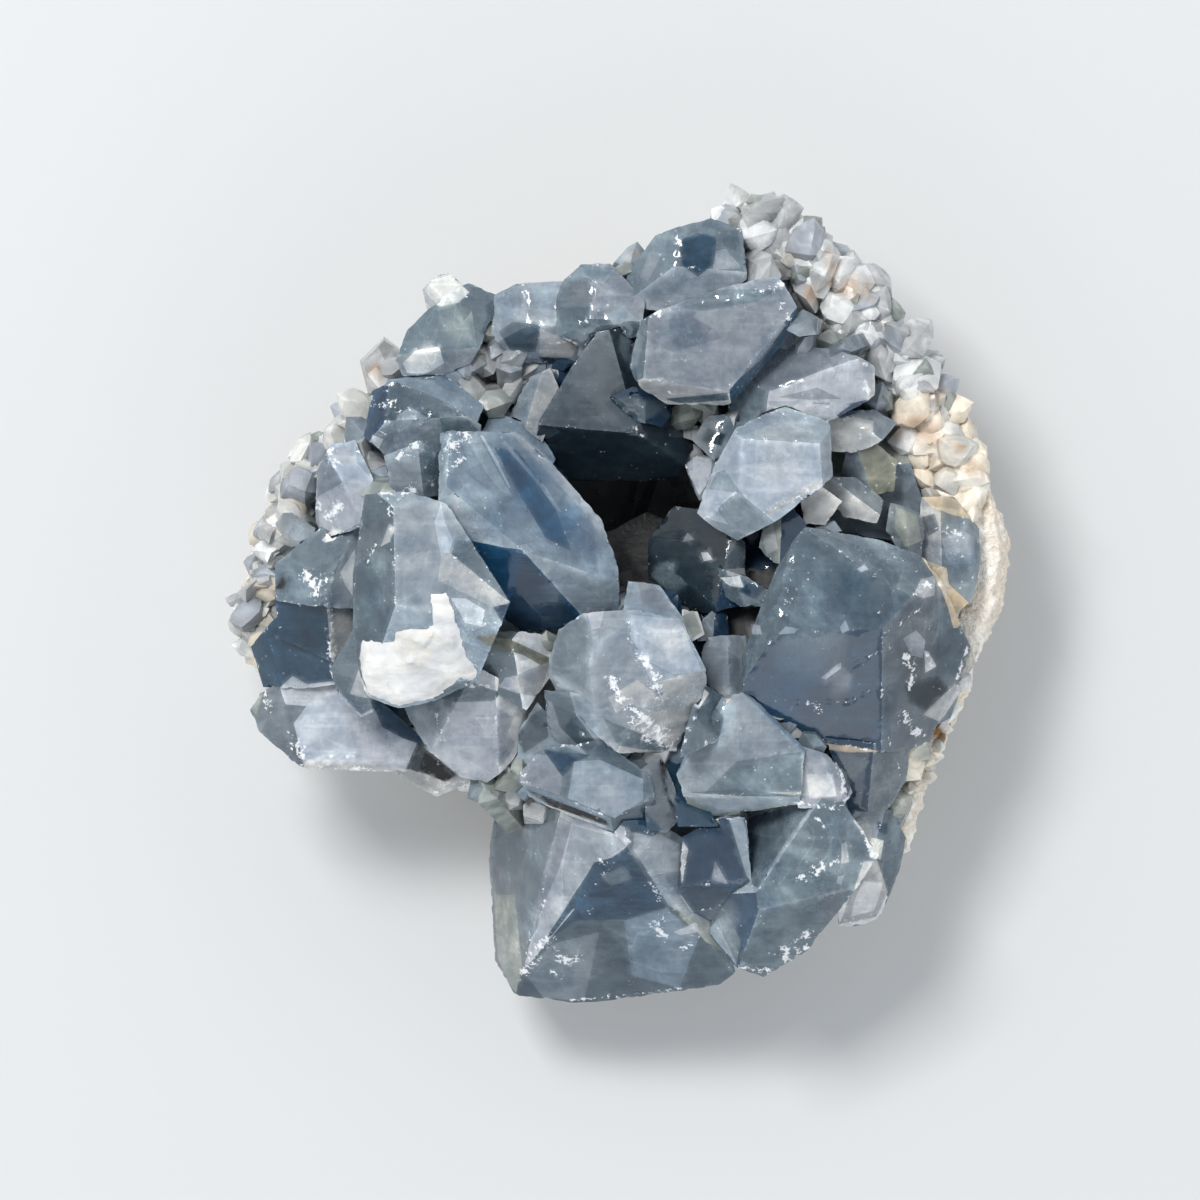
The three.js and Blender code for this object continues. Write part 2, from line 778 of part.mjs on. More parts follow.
// A solid as a three.js geometry
function geometryFromSolid(solid) {
  const mesh = solid.getMesh();
  const geometry = new THREE.BufferGeometry();
  geometry.setAttribute("position", new THREE.Float32BufferAttribute(mesh.vertProperties, 3));
  geometry.setIndex(new THREE.BufferAttribute(mesh.triVerts, 1));
  return geometry;
}

// The largest body of a solid, without the slivers that a cut leaves
function largestBody(solid) {
  const bodies = solid.decompose();
  bodies.sort((a, b) => b.volume() - a.volume());
  return bodies[0];
}

// A plane through a point, facing an azimuth, tilted from level
function tiltedPlane([x, y, z, azimuth, tilt]) {
  const a = THREE.MathUtils.degToRad(azimuth);
  const t = THREE.MathUtils.degToRad(tilt);
  const normal = new THREE.Vector3(Math.cos(a) * Math.sin(t), Math.sin(a) * Math.sin(t), Math.cos(t));
  return new THREE.Plane().setFromNormalAndCoplanarPoint(normal, new THREE.Vector3(x, y, z));
}

// A plane through three points, facing the given way
function planeThrough(a, b, c, facing) {
  const plane = new THREE.Plane().setFromCoplanarPoints(a, b, c);
  if (plane.normal.dot(facing) < 0) plane.negate();
  return plane;
}

// The height of a plane over a plan point
function heightOver(plane, x, y) {
  return -(plane.normal.x * x + plane.normal.y * y + plane.constant) / plane.normal.z;
}

// The height of the lowest of some planes over a plan point
function lowestOver(planes, x, y) {
  return Math.min(...planes.map((plane) => heightOver(plane, x, y)));
}

// The convex outline around plan points, anticlockwise
function convexOutline(points) {
  const sorted = [...points].sort((a, b) => a[0] - b[0] || a[1] - b[1]);
  const turn = (o, a, b) => (a[0] - o[0]) * (b[1] - o[1]) - (a[1] - o[1]) * (b[0] - o[0]);
  const half = (list) => {
    const kept = [];
    for (const point of list) {
      while (kept.length > 1 && turn(kept[kept.length - 2], kept[kept.length - 1], point) <= 0) kept.pop();
      kept.push(point);
    }
    kept.pop();
    return kept;
  };
  return [...half(sorted), ...half(sorted.reverse())];
}

// The planes that bound one crystal
function crystalPlanes({ plan, face, hinges = [], facets = [], cuts = [], lean = LEAN, root = ROOT }) {
  const main = tiltedPlane(face);
  const tops = [main];
  for (const [x1, y1, x2, y2, slope] of hinges) {
    const a = new THREE.Vector3(x1, y1, heightOver(main, x1, y1));
    const b = new THREE.Vector3(x2, y2, heightOver(main, x2, y2));
    const out = new THREE.Vector3(y2 - y1, x1 - x2, 0).normalize();
    if (out.x * (face[0] - x1) + out.y * (face[1] - y1) > 0) out.negate();
    const c = a.clone().add(b).multiplyScalar(0.5).add(out);
    c.z -= Math.tan(THREE.MathUtils.degToRad(slope));
    tops.push(planeThrough(a, b, c, UP));
  }
  for (const [x1, y1, z1, x2, y2, z2, x3, y3, z3] of facets) {
    const a = new THREE.Vector3(x1, y1, z1);
    const b = new THREE.Vector3(x2, y2, z2);
    const c = new THREE.Vector3(x3, y3, z3);
    tops.push(planeThrough(a, b, c, UP));
  }
  const outline = convexOutline(plan);
  const undercut = Math.tan(THREE.MathUtils.degToRad(lean));
  const walls = outline.map(([x1, y1], i) => {
    const [x2, y2] = outline[(i + 1) % outline.length];
    const height = (lowestOver(tops, x1, y1) + lowestOver(tops, x2, y2)) / 2;
    const out = new THREE.Vector3(y2 - y1, x1 - x2, 0).normalize();
    const facing = new THREE.Vector3(out.x, out.y, -undercut).normalize();
    return new THREE.Plane().setFromNormalAndCoplanarPoint(facing, new THREE.Vector3(x1, y1, height));
  });
  const bottom = tiltedPlane([face[0], face[1], root, 0, 180]);
  return [...tops, ...walls, ...cuts.map(tiltedPlane), bottom];
}

// The point where three planes meet, or null where they don't
function meetingPoint(p, q, r) {
  const cross = new THREE.Vector3().crossVectors(q.normal, r.normal);
  const volume = p.normal.dot(cross);
  if (Math.abs(volume) < NEARLY_PARALLEL) return null;
  const point = cross.multiplyScalar(-p.constant);
  point.addScaledVector(new THREE.Vector3().crossVectors(r.normal, p.normal), -q.constant);
  point.addScaledVector(new THREE.Vector3().crossVectors(p.normal, q.normal), -r.constant);
  return point.divideScalar(volume);
}

// The corners of the convex body inside all planes, each with the planes that meet there
function cornersInside(planes) {
  const corners = [];
  for (let i = 0; i < planes.length; i++) {
    for (let j = i + 1; j < planes.length; j++) {
      for (let k = j + 1; k < planes.length; k++) {
        const point = meetingPoint(planes[i], planes[j], planes[k]);
        if (!point) continue;
        if (planes.some((plane) => plane.distanceToPoint(point) > TOUCHING)) continue;
        let corner = corners.find((other) => other.point.distanceTo(point) < SAME_POINT);
        if (!corner) {
          corner = { point, planes: new Set() };
          corners.push(corner);
        }
        [i, j, k].forEach((index) => corner.planes.add(index));
      }
    }
  }
  return corners;
}

// The convex body inside all planes, as a solid grown by a clearance
function convexSolid(planes, grow = 0) {
  const grown = planes.map((plane) => new THREE.Plane(plane.normal, plane.constant - grow));
  const corners = cornersInside(grown);
  const triangles = [];
  grown.forEach((plane, index) => {
    const face = corners.filter((corner) => corner.planes.has(index)).map((corner) => corner.point);
    if (face.length < 3) return;
    const middle = face.reduce((sum, point) => sum.add(point), new THREE.Vector3());
    middle.divideScalar(face.length);
    const across = face[0].clone().sub(middle).normalize();
    const along = new THREE.Vector3().crossVectors(plane.normal, across);
    const angle = (point) => {
      const offset = point.clone().sub(middle);
      return Math.atan2(offset.dot(along), offset.dot(across));
    };
    face.sort((a, b) => angle(a) - angle(b));
    for (let i = 1; i < face.length - 1; i++) triangles.push(face[0], face[i], face[i + 1]);
  });
  const geometry = new THREE.BufferGeometry().setFromPoints(triangles);
  return solidFromGeometry(geometry);
}

// The rim read off by angle around the rock's centre: how far out, how high, and the inner edge
const rimCurve = new THREE.CatmullRomCurve3(
  RIM.map(([x, y, height]) => new THREE.Vector3(x - ROCK_CENTRE[0], y - ROCK_CENTRE[1], height)),
  true,
);
const rimByAngle = rimCurve
  .getPoints(RIM_SAMPLES)
  .slice(0, RIM_SAMPLES)
  .map((point, i) => {
    const along = (i / RIM_SAMPLES) * RIM.length;
    const before = RIM[Math.floor(along)][3];
    const after = RIM[(Math.floor(along) + 1) % RIM.length][3];
    return {
      angle: Math.atan2(point.y, point.x),
      out: Math.hypot(point.x, point.y),
      height: point.z,
      inner: before + (after - before) * (along % 1),
    };
  })
  .sort((a, b) => a.angle - b.angle);

function rimAt(angle) {
  const wrapped = Math.atan2(Math.sin(angle), Math.cos(angle));
  return rimByAngle.reduce((best, sample) =>
    Math.abs(sample.angle - wrapped) < Math.abs(best.angle - wrapped) ? sample : best,
  );
}

// How far the rind swells out at a point
function lumps(x, y, z) {
  const wave = ([turnX, turnY, turnZ, start]) => Math.sin(turnX * x + turnY * y + turnZ * z + start);
  return LUMP_WAVES.reduce(
    (sum, { share, first, second }) => sum + RIND_ROUGHNESS * share * wave(first) * wave(second),
    0,
  );
}

// A point of the rock at an angle: share of the way out, height
function rockPoint(angle, share, height, rough) {
  const rim = rimAt(angle);
  const x = ROCK_CENTRE[0] + Math.cos(angle) * rim.out * share;
  const y = ROCK_CENTRE[1] + Math.sin(angle) * rim.out * share;
  const swell = rough * lumps(x, y, height);
  return new THREE.Vector3(x + Math.cos(angle) * swell, y + Math.sin(angle) * swell, height);
}

// The rows of the rock's outside, at one angle, from the level place up
function outsideColumn(angle) {
  const rim = rimAt(angle);
  return OUTSIDE_ROWS.map(([share, rise]) => rockPoint(angle, share, rise * rim.height, rise > 0 ? 1 : 0));
}

// The rows of the hollow, at one angle, from the rim's inner edge down
function insideColumn(angle) {
  const rim = rimAt(angle);
  return INSIDE_ROWS.map(([share, rise]) => {
    const height = FLOOR_HEIGHT + (rim.height - FLOOR_HEIGHT) * rise;
    return rockPoint(angle, share * rim.inner, height, HOLLOW_ROUGHNESS * rise);
  });
}

// A closed surface from columns of points around the rock, closed by one point at each end
function surfaceOfColumns(columns, first, last) {
  const rows = columns[0].length;
  const points = columns.flat();
  points.push(first, last);
  const firstIndex = points.length - 2;
  const lastIndex = points.length - 1;
  const index = [];
  for (let i = 0; i < columns.length; i++) {
    const here = i * rows;
    const next = ((i + 1) % columns.length) * rows;
    index.push(firstIndex, next, here);
    for (let k = 0; k < rows - 1; k++) {
      index.push(here + k, next + k, next + k + 1);
      index.push(here + k, next + k + 1, here + k + 1);
    }
    index.push(here + rows - 1, next + rows - 1, lastIndex);
  }
  const geometry = new THREE.BufferGeometry().setFromPoints(points);
  geometry.setIndex(index);
  return geometry;
}

const ANGLES = Array.from({ length: ROCK_SIDES }, (_, i) => (i / ROCK_SIDES) * 2 * Math.PI);

// The rock, with its surface moved out by a clearance
function rockGeometry(grow = 0) {
  const columns = ANGLES.map((angle) => [...outsideColumn(angle), ...insideColumn(angle)]);
  const below = new THREE.Vector3(...ROCK_CENTRE, 0);
  const floor = new THREE.Vector3(...ROCK_CENTRE, FLOOR_HEIGHT);
  const geometry = surfaceOfColumns(columns, below, floor);
  return moveOut(geometry, grow);
}

// A geometry with each point moved along its normal
function moveOut(geometry, distance) {
  geometry.computeVertexNormals();
  const position = geometry.attributes.position;
  const normal = geometry.attributes.normal;
  for (let i = 0; i < position.count; i++) {
    position.setXYZ(
      i,
      position.getX(i) + normal.getX(i) * distance,
      position.getY(i) + normal.getY(i) * distance,
      position.getZ(i) + normal.getZ(i) * distance,
    );
  }
  return geometry;
}

// The hollow's surface lifted off the rock, from a row of the grown rock down to its middle
function liftedHollow(distance, firstRow) {
  const grown = rockGeometry(distance).attributes.position;
  const pointAt = (at) => new THREE.Vector3(grown.getX(at), grown.getY(at), grown.getZ(at));
  const rows = OUTSIDE_ROWS.length + INSIDE_ROWS.length;
  const columns = ANGLES.map((_, i) =>
    Array.from({ length: rows - firstRow }, (_row, k) => pointAt(i * rows + firstRow + k)),
  );
  return { columns, middle: pointAt(grown.count - 1) };
}

// The sheet between two lifts off the hollow's surface
function liningGeometry(low, high, firstRow) {
  const under = liftedHollow(low, firstRow);
  const over = liftedHollow(high, firstRow);
  const columns = ANGLES.map((_, i) => [...under.columns[i].toReversed(), ...over.columns[i]]);
  return surfaceOfColumns(columns, under.middle, over.middle);
}

// The height of the lining's surface over a plan point
function liningHeight(x, y) {
  const dx = x - ROCK_CENTRE[0];
  const dy = y - ROCK_CENTRE[1];
  const rim = rimAt(Math.atan2(dy, dx));
  const share = Math.hypot(dx, dy) / rim.out / rim.inner;
  const rows = [...INSIDE_ROWS, [0, 0]];
  const k = rows.findIndex(([rowShare], i) => i > 0 && rowShare <= share);
  if (share >= 1 || k < 1) return rim.height;
  const [shareOut, riseOut] = rows[k - 1];
  const [shareIn, riseIn] = rows[k];
  const rise = riseIn + ((riseOut - riseIn) * (share - shareIn)) / (shareOut - shareIn);
  return FLOOR_HEIGHT + (rim.height - FLOOR_HEIGHT) * rise + LINING_THICKNESS;
}

function insideOutline([x, y], outline) {
  let inside = false;
  for (let i = 0, j = outline.length - 1; i < outline.length; j = i++) {
    const [xi, yi] = outline[i];
    const [xj, yj] = outline[j];
    if (yi > y !== yj > y && x < ((xj - xi) * (y - yi)) / (yj - yi) + xi) inside = !inside;
  }
  return inside;
}

// One small blunt crystal of the lining
function druseCrystal(x, y, random) {
  const between = ([low, high]) => low + (high - low) * random();
  const radius = between(DRUSE_RADIUS);
  const height = between(DRUSE_HEIGHT);
  const surface = liningHeight(x, y);
  const top = surface + height;
  const turn = 360 * random();
  const planes = [];
  for (let i = 0; i < DRUSE_SIDES; i++) {
    const azimuth = turn + (i * 360) / DRUSE_SIDES + between(DRUSE_SIDE_TURN);
    const a = THREE.MathUtils.degToRad(azimuth);
    const reach = radius * between(DRUSE_SIDE_REACH);
    const side = [x + Math.cos(a) * reach, y + Math.sin(a) * reach, top, azimuth, DRUSE_SIDE_TILT];
    planes.push(tiltedPlane(side));
  }
  for (let i = 0; i < DRUSE_TOPS; i++) {
    const azimuth = turn + (i * 360) / DRUSE_TOPS + between(DRUSE_TOP_TURN);
    planes.push(tiltedPlane([x, y, top, azimuth, between(DRUSE_TOP_TILT)]));
  }
  planes.push(tiltedPlane([x, y, surface - DRUSE_ROOT, 0, 180]));
  return convexSolid(planes);
}

// Places for the small crystals, one in each square of a grid over each patch, a little shifted
function drusePlaces(random) {
  const places = [];
  for (const patch of DRUSE_PATCHES) {
    const xs = patch.map(([x]) => x);
    const ys = patch.map(([, y]) => y);
    for (let x = Math.min(...xs); x < Math.max(...xs); x += DRUSE_SPACING) {
      for (let y = Math.min(...ys); y < Math.max(...ys); y += DRUSE_SPACING) {
        const place = [x + DRUSE_SPACING * random(), y + DRUSE_SPACING * random()];
        if (insideOutline(place, patch)) places.push(place);
      }
    }
  }
  return places;
}

// A coloured mesh of a solid
function named(name, solid, color, roughness) {
  const geometry = geometryFromSolid(solid).toNonIndexed();
  geometry.computeVertexNormals();
  const material = new THREE.MeshStandardMaterial({ color, roughness, metalness: 0 });
  const mesh = new THREE.Mesh(geometry, material);
  mesh.name = name;
  return mesh;
}

// The rock
const rock = solidFromGeometry(rockGeometry());
const grownRock = solidFromGeometry(rockGeometry(GAP));
const rimEdge = OUTSIDE_ROWS.length;
const lining = solidFromGeometry(liningGeometry(-LINING_OVERLAP, GAP + LINING_THICKNESS, rimEdge));
const grownLining = solidFromGeometry(
  liningGeometry(-LINING_OVERLAP, 2 * GAP + LINING_THICKNESS, rimEdge - 1),
);
const ground = grownRock.add(grownLining);

// The bunches, each cut clear of the rock, the lining and the bunches before it
const bunchSolids = {};
let taken = ground;
let grownCrystals = null;
for (const [name, { crystals }] of Object.entries(BUNCHES)) {
  const planes = crystals.map(crystalPlanes);
  const whole = planes.map((list) => convexSolid(list)).reduce((a, b) => a.add(b));
  const grown = planes.map((list) => convexSolid(list, GAP)).reduce((a, b) => a.add(b));
  bunchSolids[name] = largestBody(whole.subtract(taken));
  taken = taken.add(grown);
  grownCrystals = grownCrystals ? grownCrystals.add(grown) : grown;
}

// The lining with its small crystals
const random = randomFrom(DRUSE_SEED);
const knobs = drusePlaces(random)
  .map(([x, y]) => druseCrystal(x, y, random))
  .reduce((a, b) => a.add(b));
const crust = largestBody(lining.add(knobs.subtract(grownCrystals)).subtract(grownRock));

const cluster = new THREE.Group();
cluster.add(named("matrix", rock, ROCK_COLOUR, ROCK_DULLNESS));
cluster.add(named("druse_crust", crust, DRUSE_COLOUR, DRUSE_DULLNESS));
for (const [name, { colour }] of Object.entries(BUNCHES)) {
  cluster.add(named(name, bunchSolids[name], colour, CRYSTAL_DULLNESS));
}

// The origin is under the middle of the whole piece, on the surface that it lies on
const box = new THREE.Box3().setFromObject(cluster);
const centre = box.getCenter(new THREE.Vector3());
cluster.position.set(-centre.x, -centre.y, -box.min.z);

export default cluster;
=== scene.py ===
"""The looks of a celestite crystal cluster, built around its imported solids.

Lengths in the tables are millimetres. Plan places are X to the right and Y to the back, counted
from the middle of the view from above, which lies at VIEW_MIDDLE in the model's frame. The long
tables are text: a tone or a width, then the places that have it, each as numbers joined by commas.
"""

import math
import random

import bmesh
import bpy
import numpy as np
from mathutils import Matrix, Vector, noise
from mathutils.bvhtree import BVHTree
from mathutils.kdtree import KDTree


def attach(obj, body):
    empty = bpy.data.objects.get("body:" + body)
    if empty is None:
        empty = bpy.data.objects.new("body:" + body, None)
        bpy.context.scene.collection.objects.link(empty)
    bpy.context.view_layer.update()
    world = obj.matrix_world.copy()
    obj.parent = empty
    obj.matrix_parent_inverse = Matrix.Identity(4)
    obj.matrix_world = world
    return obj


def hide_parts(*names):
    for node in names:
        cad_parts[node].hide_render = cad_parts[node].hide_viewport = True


MM = 0.001
VIEW_MIDDLE = Vector((-2.828, -0.289, 0.0))
VIEW_WIDTH = 150.0
VIEW_DISTANCE = 2000.0
VIEW_LEVEL = 30.0
SENSOR = 36.0
ABOVE_ALL = 200.0
DOWN = Vector((0, 0, -1))
WELD = 1e-6
NOISE_SEED = 8


def table(text):
    """The rows of a text table: a head word and the number groups after it."""
    rows = []
    for word in text.split():
        if "," in word:
            rows[-1][1].append(tuple(float(part) for part in word.split(",")))
        else:
            rows.append((word, []))
    return rows


# Surface colours as they look in daylight, 0 to 255, and how clear the crystal is there
TONES = {
    # Painted shade: the black of the hollow and of the darkest gaps
    "black": (10, 14, 20, 0.2),
    "navy": (52, 86, 112, 0.6),
    "deep": (52, 79, 107, 0.6),
    "slate": (125, 142, 155, 0.58),
    "mid": (138, 157, 176, 0.55),
    "steel": (168, 179, 191, 0.5),
    "sky": (159, 174, 187, 0.45),
    # Painted reflections of the sky and the lamp on facets: pale, bright and lilac
    "pale": (140, 154, 168, 0.35),
    "bright": (164, 174, 188, 0.25),
    "lilac": (148, 157, 170, 0.5),
    "mist": (167, 173, 184, 0.3),
    "smoke": (126, 137, 148, 0.58),
    "ash": (164, 172, 168, 0.5),
    "moss": (137, 150, 162, 0.5),
    "olive": (138, 139, 125, 0.5),
    "grey": (187, 189, 192, 0.35),
    "frost": (226, 228, 231, 0.25),
    "white": (203, 203, 201, 0.08),
    "chalk": (244, 239, 231, 0.05),
    "shell": (232, 220, 204, 0.05),
    "cream": (200, 191, 177, 0.05),
    "sand": (187, 168, 143, 0.05),
    "rust": (185, 141, 92, 0.05),
    "umber": (104, 84, 66, 0.1),
    # Painted shade: dusk on facets turned from the light, and the coal tone in the gaps
    "dusk": (99, 117, 131, 0.58),
    "ink": (34, 88, 128, 0.6),
    "coal": (46, 60, 70, 0.45),
    "haze": (84, 100, 112, 0.1),
}

# Each bunch: its plain tone and its record slot
BUNCHES = {
    "crystals_left_crown": ("mid", "crystal_blue"),
    "crystals_left_side": ("slate", "crystal_dark"),
    "crystals_grey_tips": ("ash", "crystal_grey"),
    "crystals_centre": ("sky", "crystal_blue"),
    "crystals_middle_steps": ("mid", "crystal_blue"),
    "crystal_front_large": ("smoke", "crystal_smoky"),
    "crystals_front_right": ("slate", "crystal_dark"),
    "crystals_right_large": ("slate", "crystal_dark"),
    "crystals_hollow_side": ("deep", "crystal_dark"),
    "crystals_green_grey": ("moss", "crystal_grey"),
    "crystals_pale_bright": ("pale", "crystal_pale"),
    "crystals_upper_right": ("lilac", "crystal_smoky"),
    "crystals_over_hollow": ("deep", "crystal_dark"),
    "crystals_back_row": ("mid", "crystal_blue"),
}

# Facets with a tone of their own, painted reflection and painted shade among them: tone, plan places
FACET_TONES = table("""
steel -22,6 -24,16 -32,4 -22,-14.5 1,-8 -2.2,-14 28,18 14.5,-8 16.8,-8 18,-20 22,-30 34,-29 -20,21.6
-21,29.6 -9.8,25.6 -7.4,37 -11,35.6 -7,32 11,39.4
pale -20,-3 7,-6
dusk -27,5 3,-27 26,-2 9,-38 -22,24.6 -2,33.6 4.8,31
mid -6,12 -5,-25
sky -14,9.5 -2,2 -18.9,16 -22,12.6 17,11 23,21.5
ink -8,1
slate -21,16 -36,6 -29.4,-13 -11.5,-10.5 -5,-14 6.2,-23 17,2 19,1 20,-6 40,2 12,-17 24,-40 31,-30
-17.4,38 -3.4,37.6 7,42 13,44 19,25
lilac -33,12 2,38 12,31 14,38 26,30.4
bright -31,17 -32,-17 22,16 13.5,12
navy -37,-4 -42.5,-5 -37,-8 12,-27 14,-36.5 20,29
grey -32,-3 -30,-20.6 -23,-22.5 -19,-23 9,-12 30,22 30,11 27.5,12 11.4,-3 -19.6,38.8 -20.6,37.6
-6.4,25.6 10,26 33.4,27.6 41.4,8
smoke -41,-14 7.5,-27 12.5,15.5 14,20.4 17,6 41,-3 32,13 34.8,-22 -11,-38 -2,28 -3,23 38,9 38.8,10
mist -14.5,-17 27,-21 29.5,-23 -5,-33 28.6,23.4
frost -11.5,-16 -8.5,-10 33,-37
coal 0,18 10,8 9,3 5,22
ash 21,7 18,-25 36.6,21
deep 28,-8 31,-21 17,-36.6 14.6,-27.4 -27,23
olive 34,17
moss 13.6,-3.4 44,11
black 16,-3.6
haze -20,34
""")
